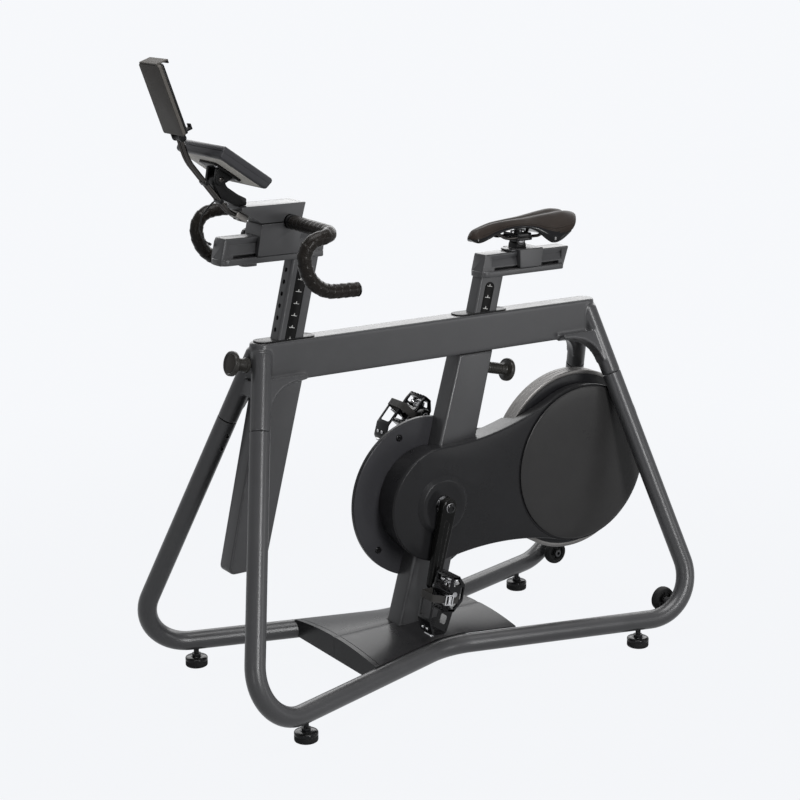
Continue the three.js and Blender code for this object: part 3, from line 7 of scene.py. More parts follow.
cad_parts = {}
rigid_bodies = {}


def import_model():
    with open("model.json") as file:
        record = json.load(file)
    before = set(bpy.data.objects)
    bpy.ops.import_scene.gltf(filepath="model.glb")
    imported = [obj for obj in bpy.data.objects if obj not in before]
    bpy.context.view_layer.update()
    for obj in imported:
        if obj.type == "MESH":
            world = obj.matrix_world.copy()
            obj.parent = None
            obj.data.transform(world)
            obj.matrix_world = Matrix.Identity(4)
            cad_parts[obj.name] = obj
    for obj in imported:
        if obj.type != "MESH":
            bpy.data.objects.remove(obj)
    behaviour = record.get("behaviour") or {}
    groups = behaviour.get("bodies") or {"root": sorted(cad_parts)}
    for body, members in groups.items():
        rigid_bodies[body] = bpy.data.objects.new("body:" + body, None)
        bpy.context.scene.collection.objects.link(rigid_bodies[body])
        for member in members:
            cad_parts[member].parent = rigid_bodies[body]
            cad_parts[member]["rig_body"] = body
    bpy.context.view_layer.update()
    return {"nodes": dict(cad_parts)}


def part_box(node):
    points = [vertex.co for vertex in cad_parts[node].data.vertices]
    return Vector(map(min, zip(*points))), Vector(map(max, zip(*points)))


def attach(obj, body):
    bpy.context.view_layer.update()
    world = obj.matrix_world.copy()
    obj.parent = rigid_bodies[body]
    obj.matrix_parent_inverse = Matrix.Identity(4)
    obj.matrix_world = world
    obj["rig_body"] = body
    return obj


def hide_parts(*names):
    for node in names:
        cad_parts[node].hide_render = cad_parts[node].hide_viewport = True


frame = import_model()
print("frame loaded")

scene = bpy.context.scene
scene.view_settings.view_transform = "Standard"
mm = 0.001
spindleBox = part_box("crank_spindle")
crankX = (spindleBox[0].x + spindleBox[1].x) / 2  # the bike is laid out from the crank's axis


def spot(x, y, z):  # a point given in mm from the crank's axis, the middle and the floor
    return Vector((crankX + x * mm, y * mm, z * mm))


def placeAt(x, y, z, tilt=0.0):  # a local frame in mm, turned about Y
    return Matrix.Translation(spot(x, y, z)) @ Matrix.Rotation(tilt, 4, "Y") @ Matrix.Scale(mm, 4)


bike = placeAt(0, 0, 0)

# camera
cameraFacts = {
    "lens": 80.964, "sensor": 36.0, "from": (2190.1, 3134.7, 1570.6), "yaw": -124.0, "pitch": -14.3,
}
cameraData = bpy.data.cameras.new("camera")
cameraData.lens = cameraFacts["lens"]
cameraData.sensor_width = cameraFacts["sensor"]
cameraData.clip_end = 60
camera = bpy.data.objects.new("camera", cameraData)
scene.collection.objects.link(camera)
yaw, pitch = math.radians(cameraFacts["yaw"]), math.radians(cameraFacts["pitch"])
looking = Vector((math.cos(pitch) * math.cos(yaw), math.cos(pitch) * math.sin(yaw), math.sin(pitch)))
camera.location = spot(*cameraFacts["from"])
camera.rotation_mode = "QUATERNION"
camera.rotation_quaternion = looking.to_track_quat("-Z", "Y")
scene.camera = camera


# node helpers
def setInputs(tree, made, values):  # links sockets, and sets numbers and colours
    for label, value in values.items():
        socket = made.inputs[label]
        if isinstance(value, bpy.types.NodeSocket):
            tree.links.new(value, socket)
        elif socket.type == "RGBA":
            socket.default_value = (*value, 1)
        elif value is not None:
            socket.default_value = value


def addNode(tree, kind, values, **settings):
    made = tree.nodes.new("ShaderNode" + kind)
    for label, value in settings.items():
        setattr(made, label, value)
    setInputs(tree, made, values)
    return made


def mathNode(tree, operation, first, second=None, clamp=False):
    return addNode(tree, "Math", {0: first, 1: second}, operation=operation, use_clamp=clamp).outputs[0]


def rangeNode(tree, value, fromLow, fromHigh, toLow, toHigh, **settings):
    limits = {"From Min": fromLow, "From Max": fromHigh, "To Min": toLow, "To Max": toHigh}
    return addNode(tree, "MapRange", {"Value": value, **limits}, **settings).outputs["Result"]


def noiseNode(tree, vector, scale, detail=3.0, roughness=0.55):
    values = {"Vector": vector, "Scale": scale, "Detail": detail, "Roughness": roughness}
    return addNode(tree, "TexNoise", values).outputs["Fac"]


def mixColour(tree, factor, first, second):
    return addNode(tree, "Mix", {0: factor, 6: first, 7: second}, data_type="RGBA").outputs[2]


def addBump(tree, shader, height, strength, distance):
    bump = addNode(tree, "Bump", {"Height": height, "Strength": strength, "Distance": distance})
    tree.links.new(bump.outputs["Normal"], shader.inputs["Normal"])


def shaded(colour, factor):
    return tuple(min(1.0, part * factor) for part in colour)


# studio
studio = {
    "backdrop": (0.927, 0.94, 0.965), "fill": 0.06, "glossyShare": 0.45,
    "floorSize": 120.0, "floorShade": (0.34, 0.345, 0.35), "glow": 0.97, "fade": (0.9, 2.6),
    "lamps": [  # place, aimed at, size, watts
        ((0.4, 0.6, 4.2), (0.0, 0.0, 0.5), (2.6, 2.2), 92.0),
        ((2.9, -1.5, 2.0), (0.0, 0.0, 0.6), (0.5, 2.6), 1.5),
        ((0.2, 4.4, 1.9), (0.0, 0.0, 0.6), (0.8, 2.4), 84.0),
        ((-3.4, -1.2, 2.4), (-0.2, 0.0, 0.6), (1.2, 2.4), 24.0),
        ((-1.3, -2.8, 1.9), (0.0, 0.0, 0.6), (4.6, 1.6), 42.0),
        ((-2.4, 3.0, 0.8), (-0.4, 0.0, 0.4), (1.1, 1.4), 10.0),
        ((2.5, 1.75, 0.5), (0.1, 0.0, 0.8), (0.5, 1.0), 3.0),
    ],
}


def showsBackdrop(tree):  # 1 on camera and transmission rays, and less on glossy ones
    path = addNode(tree, "LightPath", {}).outputs
    glossy = mathNode(tree, "MULTIPLY", path["Is Glossy Ray"], studio["glossyShare"])
    seen = mathNode(tree, "MAXIMUM", path["Is Camera Ray"], glossy)
    return mathNode(tree, "MAXIMUM", seen, path["Is Transmission Ray"])


def mixShader(tree, share, first, second):
    return addNode(tree, "MixShader", {0: share, 1: first.outputs[0], 2: second.outputs[0]}).outputs[0]


world = bpy.data.worlds.new("studio")
scene.world = world
world.use_nodes = True
worldTree = world.node_tree
worldTree.nodes.clear()
fillLight = addNode(worldTree, "Background", {"Color": (1, 1, 1), "Strength": studio["fill"]})
backdrop = addNode(worldTree, "Background", {"Color": studio["backdrop"], "Strength": 1.0})
worldMix = mixShader(worldTree, showsBackdrop(worldTree), fillLight, backdrop)
addNode(worldTree, "OutputWorld", {"Surface": worldMix})

for index, (lampPlace, aim, lampSize, watts) in enumerate(studio["lamps"]):
    lampData = bpy.data.lights.new("softbox%d" % index, "AREA")
    lampData.shape = "RECTANGLE"
    lampData.size, lampData.size_y = lampSize
    lampData.energy = watts
    lamp = bpy.data.objects.new("softbox%d" % index, lampData)
    lamp.location = lampPlace
    lamp.rotation_mode = "QUATERNION"
    lamp.rotation_quaternion = (Vector(aim) - Vector(lampPlace)).to_track_quat("-Z", "Y")
    scene.collection.objects.link(lamp)

floorBm = bmesh.new()
bmesh.ops.create_grid(floorBm, x_segments=2, y_segments=2, size=studio["floorSize"] / 2)
floorMesh = bpy.data.meshes.new("floor")
floorBm.to_mesh(floorMesh)
floorBm.free()
floorObject = bpy.data.objects.new("floor", floorMesh)
scene.collection.objects.link(floorObject)
floorMaterial = bpy.data.materials.new("paleFloor")
floorMaterial.use_nodes = True
floorTree = floorMaterial.node_tree
floorTree.nodes.clear()
matt = addNode(floorTree, "BsdfDiffuse", {"Color": studio["floorShade"]})
glow = addNode(floorTree, "Emission", {"Color": studio["backdrop"], "Strength": 1.0})
floorSpot = addNode(floorTree, "TexCoord", {}).outputs["Object"]
distance = addNode(floorTree, "VectorMath", {0: floorSpot}, operation="LENGTH").outputs["Value"]
fade = rangeNode(  # the floor runs into the backdrop
    floorTree, distance, *studio["fade"], studio["glow"], 1.0, interpolation_type="SMOOTHSTEP",
)
floorShare = mathNode(floorTree, "MULTIPLY", showsBackdrop(floorTree), fade)
addNode(floorTree, "OutputMaterial", {"Surface": mixShader(floorTree, floorShare, matt, glow)})
floorMesh.materials.append(floorMaterial)
print("studio ready")


# shader groups shared by the finishes
def newGroup(name, inputs, outputs):  # float sockets, with a vector before them
    tree = bpy.data.node_groups.new(name, "ShaderNodeTree")
    tree.interface.new_socket(name="Vector", in_out="INPUT", socket_type="NodeSocketVector")
    for label, value in inputs.items():
        made = tree.interface.new_socket(name=label, in_out="INPUT", socket_type="NodeSocketFloat")
        made.default_value = value
    for label in outputs:
        tree.interface.new_socket(name=label, in_out="OUTPUT", socket_type="NodeSocketFloat")
    return tree, tree.nodes.new("NodeGroupInput").outputs, tree.nodes.new("NodeGroupOutput")


def grainGroup():  # fine orange peel or moulded grain over soft blotches
    tree, given, put = newGroup("grain", {"Scale": 900.0, "Blotch": 14.0}, ["Height", "Blotches", "Fleck"])
    dotScale = mathNode(tree, "MULTIPLY", given["Scale"], 1.7)
    dots = addNode(tree, "TexVoronoi", {"Vector": given["Vector"], "Scale": dotScale}, feature="F1")
    setInputs(tree, put, {
        "Height": noiseNode(tree, given["Vector"], given["Scale"], 4.0, 0.6),
        "Blotches": noiseNode(tree, given["Vector"], given["Blotch"], 5.0, 0.62),
        "Fleck": rangeNode(tree, dots.outputs["Distance"], 0.0, 0.22, 1.0, 0.0),
    })
    return tree


def wearGroup():  # edges rubbed brighter, broken up by noise
    tree, given, put = newGroup("edgeWear", {"Amount": 0.5}, ["Edge"])
    rounded = addNode(tree, "Bevel", {"Radius": 0.0016}, samples=4).outputs["Normal"]
    straight = addNode(tree, "NewGeometry", {}).outputs["Normal"]
    dot = addNode(tree, "VectorMath", {0: rounded, 1: straight}, operation="DOT_PRODUCT")
    edge = rangeNode(tree, dot.outputs["Value"], 0.995, 0.86, 0.0, 1.0)
    ragged = rangeNode(tree, noiseNode(tree, given["Vector"], 160.0, 5.0, 0.7), 0.42, 0.62, 0.0, 1.0)
    worn = mathNode(tree, "MULTIPLY", edge, ragged)
    setInputs(tree, put, {"Edge": mathNode(tree, "MULTIPLY", worn, given["Amount"], True)})
    return tree


def dustGroup():  # a little dust on faces that look up
    tree, given, put = newGroup("dust", {"Amount": 0.2}, ["Dust"])
    split = addNode(tree, "SeparateXYZ", {0: addNode(tree, "NewGeometry", {}).outputs["Normal"]})
    up = rangeNode(tree, split.outputs["Z"], 0.55, 1.0, 0.0, 1.0)
    patches = rangeNode(tree, noiseNode(tree, given["Vector"], 26.0, 6.0, 0.7), 0.38, 0.72, 0.25, 1.0)
    lying = mathNode(tree, "MULTIPLY", up, patches)
    setInputs(tree, put, {"Dust": mathNode(tree, "MULTIPLY", lying, given["Amount"], True)})
    return tree


def brushGroup():  # fine turned or drawn lines
    tree, given, put = newGroup("brushed", {"Scale": 900.0}, ["Lines"])
    setInputs(tree, put, {"Lines": noiseNode(tree, given["Vector"], given["Scale"], 2.0, 0.7)})
    return tree


groups = {"grain": grainGroup(), "wear": wearGroup(), "dust": dustGroup(), "brushed": brushGroup()}


def useGroup(tree, name, vector, **values):
    made = addNode(tree, "Group", {}, node_tree=groups[name])
    setInputs(tree, made, {"Vector": vector, **values})
    return made.outputs


def startFinish(name, colour, roughness, metallic=0.0):
    material = bpy.data.materials.new(name)
    material.use_nodes = True
    tree = material.node_tree
    shader = tree.nodes["Principled BSDF"]
    setInputs(tree, shader, {"Base Color": colour, "Roughness": roughness, "Metallic": metallic})
    return material, tree, shader, addNode(tree, "TexCoord", {}).outputs["Object"]


def addCoat(tree, shader, weight, roughness, index):
    setInputs(tree, shader, {"Coat Weight": weight, "Coat Roughness": roughness, "Coat IOR": index})


def coatedFinish(name, look):  # painted metal or moulded plastic
    look = {**plainLook, **look}
    colour, roughness, vary = look["colour"], look["roughness"], look["vary"]
    material, tree, shader, vector = startFinish(name, colour, roughness, look["metallic"])
    grain = useGroup(tree, "grain", vector, Scale=look["grain"], Blotch=look["blotch"])
    soft = rangeNode(tree, grain["Blotches"], 0.3, 0.7, 0.0, 1.0)
    base = mixColour(tree, soft, shaded(colour, 1 - vary), shaded(colour, 1 + vary))
    if look["fleck"]:
        amount = mathNode(tree, "MULTIPLY", grain["Fleck"], look["fleck"])
        base = mixColour(tree, amount, base, shaded(colour, 3.2))
    if look["wear"]:
        base = mixColour(
            tree, useGroup(tree, "wear", vector, Amount=look["wear"])["Edge"], base, look["worn"],
        )
    dust = useGroup(tree, "dust", vector, Amount=look["dust"])["Dust"]
    base = mixColour(tree, dust, base, (0.32, 0.31, 0.3))
    rough = rangeNode(
        tree, grain["Blotches"], 0.3, 0.7, roughness - look["roughVary"], roughness + look["roughVary"],
    )
    rough = mathNode(tree, "ADD", rough, mathNode(tree, "MULTIPLY", dust, 0.35), True)
    setInputs(tree, shader, {
        "Base Color": base, "Roughness": rough, "Specular IOR Level": look["specular"],
    })
    addBump(tree, shader, grain["Height"], look["bump"], look["depth"])
    addCoat(tree, shader, *look["coat"])
    return material


def bareMetalFinish(name, look):  # drawn, turned or plated metal
    colour, roughness = look["colour"], look["roughness"]
    material, tree, shader, vector = startFinish(name, colour, roughness, 1.0)
    lines = useGroup(tree, "brushed", vector, Scale=look["lines"])["Lines"]
    blotches = useGroup(tree, "grain", vector, Scale=600.0, Blotch=22.0)["Blotches"]
    soft = rangeNode(tree, blotches, 0.3, 0.75, 0.0, 1.0)
    setInputs(tree, shader, {
        "Base Color": mixColour(tree, soft, shaded(colour, 0.86), colour),
        "Roughness": rangeNode(tree, lines, 0.3, 0.7, roughness * 0.75, roughness * 1.35),
    })
    addBump(tree, shader, lines, look["bump"], look["depth"])
    return material


plainLook = dict(  # coat: its weight, roughness and index of refraction
    roughVary=0.05, grain=1800.0, vary=0.1, fleck=0.0, wear=0.0, worn=(0.12, 0.12, 0.12), dust=0.1,
    bump=0.2, depth=0.0003, metallic=0.0, blotch=14.0, coat=(0.0, 0.03, 1.5), specular=0.5,
)
coatedLooks = {  # what differs from the plain look
    "frame_paint": dict(colour=(0.06, 0.0602, 0.063), roughness=0.33, grain=1500.0, vary=0.06,
        fleck=0.16, wear=0.3, worn=(0.16, 0.16, 0.165), dust=0.12, bump=0.12, metallic=0.15,
        specular=0.3, coat=(0.7, 0.3, 1.42)),
    "black_paint": dict(colour=(0.016, 0.016, 0.018), roughness=0.34, roughVary=0.06, grain=1300.0,
        fleck=0.1, wear=0.35, bump=0.12, specular=0.25),
    "casing_plastic": dict(colour=(0.02, 0.02, 0.0215), roughness=0.3, grain=1900.0, vary=0.06,
        wear=0.04, worn=(0.11, 0.11, 0.115), dust=0.03, bump=0.25, specular=0.1,
        coat=(0.6, 0.22, 1.25)),
    "black_plastic": dict(colour=(0.009, 0.009, 0.0095), roughness=0.44, roughVary=0.08, grain=1600.0,
        vary=0.12, wear=0.3, worn=(0.06, 0.06, 0.06), bump=0.25, specular=0.08, coat=(0.6, 0.18, 1.25)),
    "gloss_black": dict(colour=(0.008, 0.008, 0.009), roughness=0.16, grain=700.0, wear=0.2,
        worn=(0.06, 0.06, 0.06), dust=0.08, bump=0.05, depth=0.0002, specular=0.1,
        coat=(0.8, 0.1, 1.3)),
    "tablet_plastic": dict(colour=(0.105, 0.097, 0.088), roughness=0.5, roughVary=0.06, grain=1500.0,
        vary=0.08, wear=0.25, worn=(0.14, 0.13, 0.125), bump=0.22, specular=0.25),
    "scale_insert": dict(colour=(0.008, 0.008, 0.008), roughness=0.3, roughVary=0.07, grain=1200.0,
        vary=0.12, wear=0.15, worn=(0.05, 0.05, 0.05), dust=0.06, bump=0.08, depth=0.0002,
        specular=0.08),
    "rubber": dict(colour=(0.013, 0.013, 0.0135), roughness=0.72, roughVary=0.1, grain=900.0, vary=0.2,
        dust=0.3, bump=0.4, depth=0.0004, specular=0.2),
    "belt_rubber": dict(colour=(0.012, 0.012, 0.012), roughness=0.65, roughVary=0.1, grain=1100.0,
        vary=0.2, dust=0.2, bump=0.4),
    "cable_jacket": dict(colour=(0.012, 0.012, 0.012), roughness=0.4, roughVary=0.08, grain=1400.0,
        vary=0.12, depth=0.0002, specular=0.3),
    "console_plastic": dict(colour=(0.05, 0.05, 0.055), roughness=0.38, vary=0.05, wear=0.06,
        worn=(0.13, 0.13, 0.135), dust=0.04, specular=0.1, coat=(0.6, 0.2, 1.25)),
    "disc_plastic": dict(colour=(0.042, 0.0413, 0.0415), roughness=0.32, grain=1900.0, vary=0.05,
        wear=0.04, dust=0.03, specular=0.1, coat=(0.6, 0.22, 1.25)),
    "knob_plastic": dict(colour=(0.034, 0.032, 0.029), roughness=0.3, vary=0.05, wear=0.1,
        worn=(0.11, 0.105, 0.1), dust=0.05, specular=0.2, coat=(0.5, 0.2, 1.3)),
    "knob_face": dict(colour=(0.06, 0.0545, 0.048), roughness=0.42, vary=0.06, wear=0.05,
        worn=(0.11, 0.105, 0.1), dust=0.08, specular=0.15),
    "pale_plastic": dict(colour=(0.86, 0.83, 0.77), roughness=0.45, grain=1700.0, vary=0.04, wear=0.1,
        worn=(0.4, 0.4, 0.4), bump=0.15),
    "dark_panel": dict(colour=(0.008, 0.009, 0.011), roughness=0.1, roughVary=0.03, grain=500.0,
        dust=0.06, bump=0.02, depth=0.0001),
    "arm_alloy": dict(colour=(0.006, 0.006, 0.0058), roughness=0.24, roughVary=0.06, grain=1300.0,
        fleck=0.08, wear=0.55, worn=(0.2, 0.2, 0.2), dust=0.08, bump=0.08, depth=0.0002, specular=0.08,
        coat=(0.35, 0.12, 1.25)),
}
metalLooks = {
    "steel": dict(colour=(0.5, 0.5, 0.51), roughness=0.3, lines=1400.0, bump=0.12, depth=0.0002),
    "dark_chrome": dict(colour=(0.075, 0.07, 0.066), roughness=0.16, lines=500.0, bump=0.02, depth=0.0001),
    "dark_steel": dict(colour=(0.3, 0.285, 0.27), roughness=0.36, lines=1400.0, bump=0.12, depth=0.0002),
    "chrome": dict(colour=(0.78, 0.78, 0.79), roughness=0.09, lines=500.0, bump=0.02, depth=0.0001),
}
finishes = {name: coatedFinish(name, look) for name, look in coatedLooks.items()}
finishes.update({name: bareMetalFinish(name, look) for name, look in metalLooks.items()})


def turnedSteel():  # the flywheel: rings about its own axis
    colour = (0.27, 0.262, 0.255)
    material, tree, shader, vector = startFinish("flywheel_steel", colour, 0.32, 1.0)
    low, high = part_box("flywheel")
    centred = addNode(tree, "Mapping", {"Vector": vector, "Location": -(low + high) / 2}).outputs["Vector"]
    split = addNode(tree, "SeparateXYZ", {0: centred}).outputs
    squares = [mathNode(tree, "POWER", split[axis], 2.0) for axis in ("X", "Z")]
    radius = mathNode(tree, "SQRT", mathNode(tree, "ADD", *squares))
    ringSpot = addNode(tree, "CombineXYZ", {0: radius, 1: split["Y"]}).outputs[0]
    lines = useGroup(tree, "brushed", ringSpot, Scale=1500.0)["Lines"]
    stain = rangeNode(tree, noiseNode(tree, vector, 18.0, 5.0, 0.6), 0.3, 0.7, 0.0, 1.0)
    setInputs(tree, shader, {
        "Base Color": mixColour(tree, stain, shaded(colour, 0.82), colour),
        "Roughness": rangeNode(tree, lines, 0.3, 0.7, 0.34, 0.5),
    })
    addBump(tree, shader, lines, 0.25, 0.0002)
    return material


def leatherFinish(name, look):  # pebbled cover: cells with creases between them
    colour, roughness = look["colour"], look["roughness"]
    material, tree, shader, vector = startFinish(name, colour, roughness)
    wobble = addNode(tree, "TexNoise", {"Vector": vector, "Scale": look["cells"] * 0.6}).outputs["Color"]
    warped = addNode(
        tree, "VectorMath", {0: wobble, 1: (look["warp"],) * 3, 2: vector}, operation="MULTIPLY_ADD",
    ).outputs[0]
    cells = addNode(
        tree, "TexVoronoi", {"Vector": warped, "Scale": look["cells"]}, feature="DISTANCE_TO_EDGE",
    )
    creases = rangeNode(tree, cells.outputs["Distance"], 0.0, 0.16, 0.0, 1.0)
    grain = useGroup(tree, "grain", vector, Scale=look["cells"] * 3.0, Blotch=30.0)
    height = mathNode(tree, "ADD", creases, mathNode(tree, "MULTIPLY", grain["Height"], 0.35))
    # painted shade: the creases between the cells are darkened to 0.6 of the colour
    base = mixColour(tree, creases, shaded(colour, 0.6), colour)
    worn = rangeNode(tree, grain["Blotches"], 0.35, 0.7, 0.0, 0.6)
    base = mixColour(tree, worn, base, shaded(colour, 1.5))
    dust = useGroup(tree, "dust", vector, Amount=look["dust"])["Dust"]
    setInputs(tree, shader, {
        "Base Color": mixColour(tree, dust, base, (0.3, 0.28, 0.27)),
        "Roughness": rangeNode(tree, grain["Blotches"], 0.3, 0.7, roughness - 0.07, roughness + 0.1),
        "Specular IOR Level": look["specular"], "Sheen Weight": look["sheen"], "Sheen Roughness": 0.4,
    })
    addCoat(tree, shader, 0.3, roughness * 0.6, 1.28)
    addBump(tree, shader, height, look["bump"], look["depth"])
    return material


leatherLooks = {
    "saddle_cover": dict(
        colour=(0.026, 0.0195, 0.016), roughness=0.5, cells=620.0, warp=0.0012, bump=0.3, depth=0.0003,
        dust=0.04, sheen=0.02, specular=0.1,
    ),
    "bar_tape": dict(
        colour=(0.014, 0.0115, 0.0095), roughness=0.26, cells=520.0, warp=0.0014, bump=0.3, depth=0.0004,
        dust=0.04, sheen=0.02, specular=0.1,
    ),
}
finishes["flywheel_steel"] = turnedSteel()
finishes.update({name: leatherFinish(name, look) for name, look in leatherLooks.items()})


def glassFinish():
    dark = (0.004, 0.004, 0.005)
    material, tree, shader, vector = startFinish("screen_glass", dark, 0.06)
    smear = noiseNode(tree, vector, 34.0, 5.0, 0.65)
    tint = rangeNode(tree, smear, 0.4, 0.8, 0.0, 1.0)
    setInputs(tree, shader, {
        "Base Color": mixColour(tree, tint, dark, (0.008, 0.008, 0.009)),
        "Roughness": rangeNode(tree, smear, 0.35, 0.7, 0.04, 0.13),
    })
    addCoat(tree, shader, 0.6, 0.03, 1.5)
    return material


def printFinish():  # white marks on the post scales
    material, tree, shader, vector = startFinish("white_print", (0.72, 0.72, 0.7), 0.55)
    grain = useGroup(tree, "grain", vector, Scale=2500.0, Blotch=60.0)
    patches = rangeNode(tree, grain["Height"], 0.35, 0.6, 0.0, 1.0)
    setInputs(tree, shader, {"Base Color": mixColour(tree, patches, (0.5, 0.5, 0.49), (0.78, 0.78, 0.76))})
    return material


def webbingFinish():  # woven toe straps
    material, tree, shader, vector = startFinish("strap_webbing", (0.02, 0.019, 0.018), 0.6)
    weave = addNode(tree, "TexWave", {"Vector": vector, "Scale": 480.0, "Distortion": 1.2}).outputs["Fac"]
    grain = useGroup(tree, "grain", vector, Scale=1500.0, Blotch=60.0)
    base = mixColour(tree, weave, (0.011, 0.0105, 0.01), (0.045, 0.042, 0.039))
    setInputs(tree, shader, {"Base Color": base})
    addBump(tree, shader, mathNode(tree, "ADD", weave, grain["Height"]), 0.5, 0.0004)
    return material


finishes["screen_glass"] = glassFinish()
finishes["white_print"] = printFinish()
finishes["strap_webbing"] = webbingFinish()
print("finishes ready")


# modelling tools, all in mm in a local frame until the piece is placed
weld = {"placed": 2e-6, "solid": 1e-5, "local": 1e-4}  # the first two in metres, the last in mm
flatness = 1e-6


def addPiece(name, bm, body, slot, finish=None, node=None, place=bike, smooth=30.0, bevel=0.0, rings=2):
    if place is not None:
        bm.transform(place)
    bmesh.ops.remove_doubles(bm, verts=bm.verts, dist=weld["placed"])
    bmesh.ops.recalc_face_normals(bm, faces=bm.faces)
    mesh = bpy.data.meshes.new(name)
    bm.to_mesh(mesh)
    bm.free()
    made = bpy.data.objects.new(name, mesh)
    scene.collection.objects.link(made)
    mesh.materials.append(finishes[finish or slot])
    mesh.polygons.foreach_set("use_smooth", [True] * len(mesh.polygons))
    mesh.set_sharp_from_angle(angle=math.radians(smooth))
    if bevel:
        rounding = made.modifiers.new("rounding", "BEVEL")
        rounding.width = bevel * mm
        rounding.segments = rings
        rounding.limit_method = "ANGLE"
        rounding.angle_limit = math.radians(32.0)
        rounding.use_clamp_overlap = True
        rounding.harden_normals = False
        rounding.miter_outer = "MITER_ARC"
    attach(made, body)
    if node:
        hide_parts(node)
    return made


def cutCorners(bm, geom, width, segments, affect="EDGES"):
    bmesh.ops.bevel(
        bm, geom=geom, offset=width, offset_type="OFFSET", segments=segments, profile=0.5,
        affect=affect, clamp_overlap=affect == "EDGES", material=-1,
    )


def vertsOf(grown):
    return [item for item in grown["geom"] if isinstance(item, bmesh.types.BMVert)]


def faceFrom(bm, corners, plane, steps=6):  # an outline whose corners (a, b, radius) are rounded
    put = {"xz": lambda a, b: (a, 0, b), "xy": lambda a, b: (a, b, 0), "yz": lambda a, b: (0, a, b)}[plane]
    count = len(corners)
    verts = [bm.verts.new(put(corner[0], corner[1])) for corner in corners]
    bm.faces.new(verts)
    for index, vert in enumerate(verts):
        radius = corners[index][2] if len(corners[index]) > 2 else 0
        if not radius:
            continue
        here = Vector(corners[index][:2])
        back = Vector(corners[index - 1][:2]) - here
        ahead = Vector(corners[(index + 1) % count][:2]) - here
        reach = radius / math.tan(back.angle(ahead) / 2)
        reach = min(reach, back.length * 0.99, ahead.length * 0.99)
        cutCorners(bm, [vert], reach, steps, "VERTICES")


def block(corners, plane, low, high, edge=0.0, steps=6, edgeSteps=3, bm=None):  # a prism of an outline
    part = bmesh.new()
    faceFrom(part, corners, plane, steps)
    normalAxis = {"xz": 1, "xy": 2, "yz": 0}[plane]
    slide = Vector((0, 0, 0))
    slide[normalAxis] = low
    bmesh.ops.translate(part, verts=part.verts, vec=slide)
    grown = bmesh.ops.extrude_face_region(part, geom=part.faces[:])
    slide[normalAxis] = high - low
    bmesh.ops.translate(part, verts=vertsOf(grown), vec=slide)
    bmesh.ops.recalc_face_normals(part, faces=part.faces)
    if edge:
        rims = [
            item for item in part.edges
            if abs(item.verts[0].co[normalAxis] - item.verts[1].co[normalAxis]) < flatness
        ]
        cutCorners(part, rims, edge, edgeSteps)
    return merged(bm, part)


def oblong(left, right, low, high, radius):  # the outline of a rectangle
    return [(left, low, radius), (right, low, radius), (right, high, radius), (left, high, radius)]


def rect(halfWide, halfHigh, radius):
    return oblong(-halfWide, halfWide, -halfHigh, halfHigh, radius)


def merged(bm, part, move=None):  # adds part to bm, or gives it back where there is none yet
    if move is not None:
        part.transform(move)
    if bm is None:
        return part
    holder = bpy.data.meshes.new("holder")
    part.to_mesh(holder)
    part.free()
    bm.from_mesh(holder)
    bpy.data.meshes.remove(holder)
    return bm


def box(left, right, low, high, bottom, top, edge=0.0, bm=None, edgeSteps=2):
    part = bmesh.new()
    bmesh.ops.create_cube(part, size=1.0)
    bmesh.ops.scale(part, vec=(right - left, high - low, top - bottom), verts=part.verts)
    centre = ((left + right) / 2, (low + high) / 2, (bottom + top) / 2)
    bmesh.ops.translate(part, vec=centre, verts=part.verts)
    if edge:
        cutCorners(part, part.edges[:], edge, edgeSteps)
    return merged(bm, part)


def spun(profile, steps=48, axis="z", bm=None, move=None):  # (radius, height) pairs turned about an axis
    part = bmesh.new()
    verts = [part.verts.new((radius, 0, height)) for radius, height in profile]
    edges = [part.edges.new(pair) for pair in zip(verts, verts[1:])]
    bmesh.ops.spin(
        part, geom=verts + edges, cent=(0, 0, 0), axis=(0, 0, 1), angle=2 * math.pi, steps=steps,
        use_merge=True,
    )
    bmesh.ops.remove_doubles(part, verts=part.verts, dist=weld["local"])
    bmesh.ops.recalc_face_normals(part, faces=part.faces)
    if axis == "y":
        part.transform(Matrix.Rotation(-math.pi / 2, 4, "X"))
    if axis == "x":
        part.transform(Matrix.Rotation(math.pi / 2, 4, "Y"))
    return merged(bm, part, move)


def facing(direction):  # the turn that sets Z along a direction
    return Vector((0, 0, 1)).rotation_difference(direction).to_matrix().to_4x4()


def rod(start, end, radius, sides=16, edge=0.0, bm=None):
    start, end = Vector(start), Vector(end)
    length = (end - start).length
    if edge:
        lower, upper = [(radius - edge, 0), (radius, edge)], [
            (radius, length - edge), (radius - edge, length),
        ]
        profile = [(0, 0), *lower, *upper, (0, length)]
    else:
        profile = [(0, 0), (radius, 0), (radius, length), (0, length)]
    return spun(profile, sides, "z", bm, Matrix.Translation(start) @ facing((end - start).normalized()))


def bentPath(corners, radii, arcSteps=10, straightStep=None):  # straight runs joined by arcs
    points = [Vector(corners[0])]
    for index in range(1, len(corners) - 1):
        here = Vector(corners[index])
        into = (here - Vector(corners[index - 1])).normalized()
        out = (Vector(corners[index + 1]) - here).normalized()
        turn = into.angle(out)
        radius = radii[index - 1]
        if turn < 1e-4 or not radius:
            points.append(here)
            continue
        start = here - into * radius * math.tan(turn / 2)
        inward = (out - into * into.dot(out)).normalized()
        centre = start + inward * radius
        for step in range(arcSteps + 1):
            a = turn * step / arcSteps
            points.append(centre + into * radius * math.sin(a) - inward * radius * math.cos(a))
    points.append(Vector(corners[-1]))
    if straightStep:
        points = spaced(points, straightStep)
    return points


def spaced(points, step):  # the same line with points about every step
    made = [points[0]]
    for before, after in zip(points, points[1:]):
        count = max(1, round((after - before).length / step))
        made.extend(before.lerp(after, (k + 1) / count) for k in range(count))
    return made


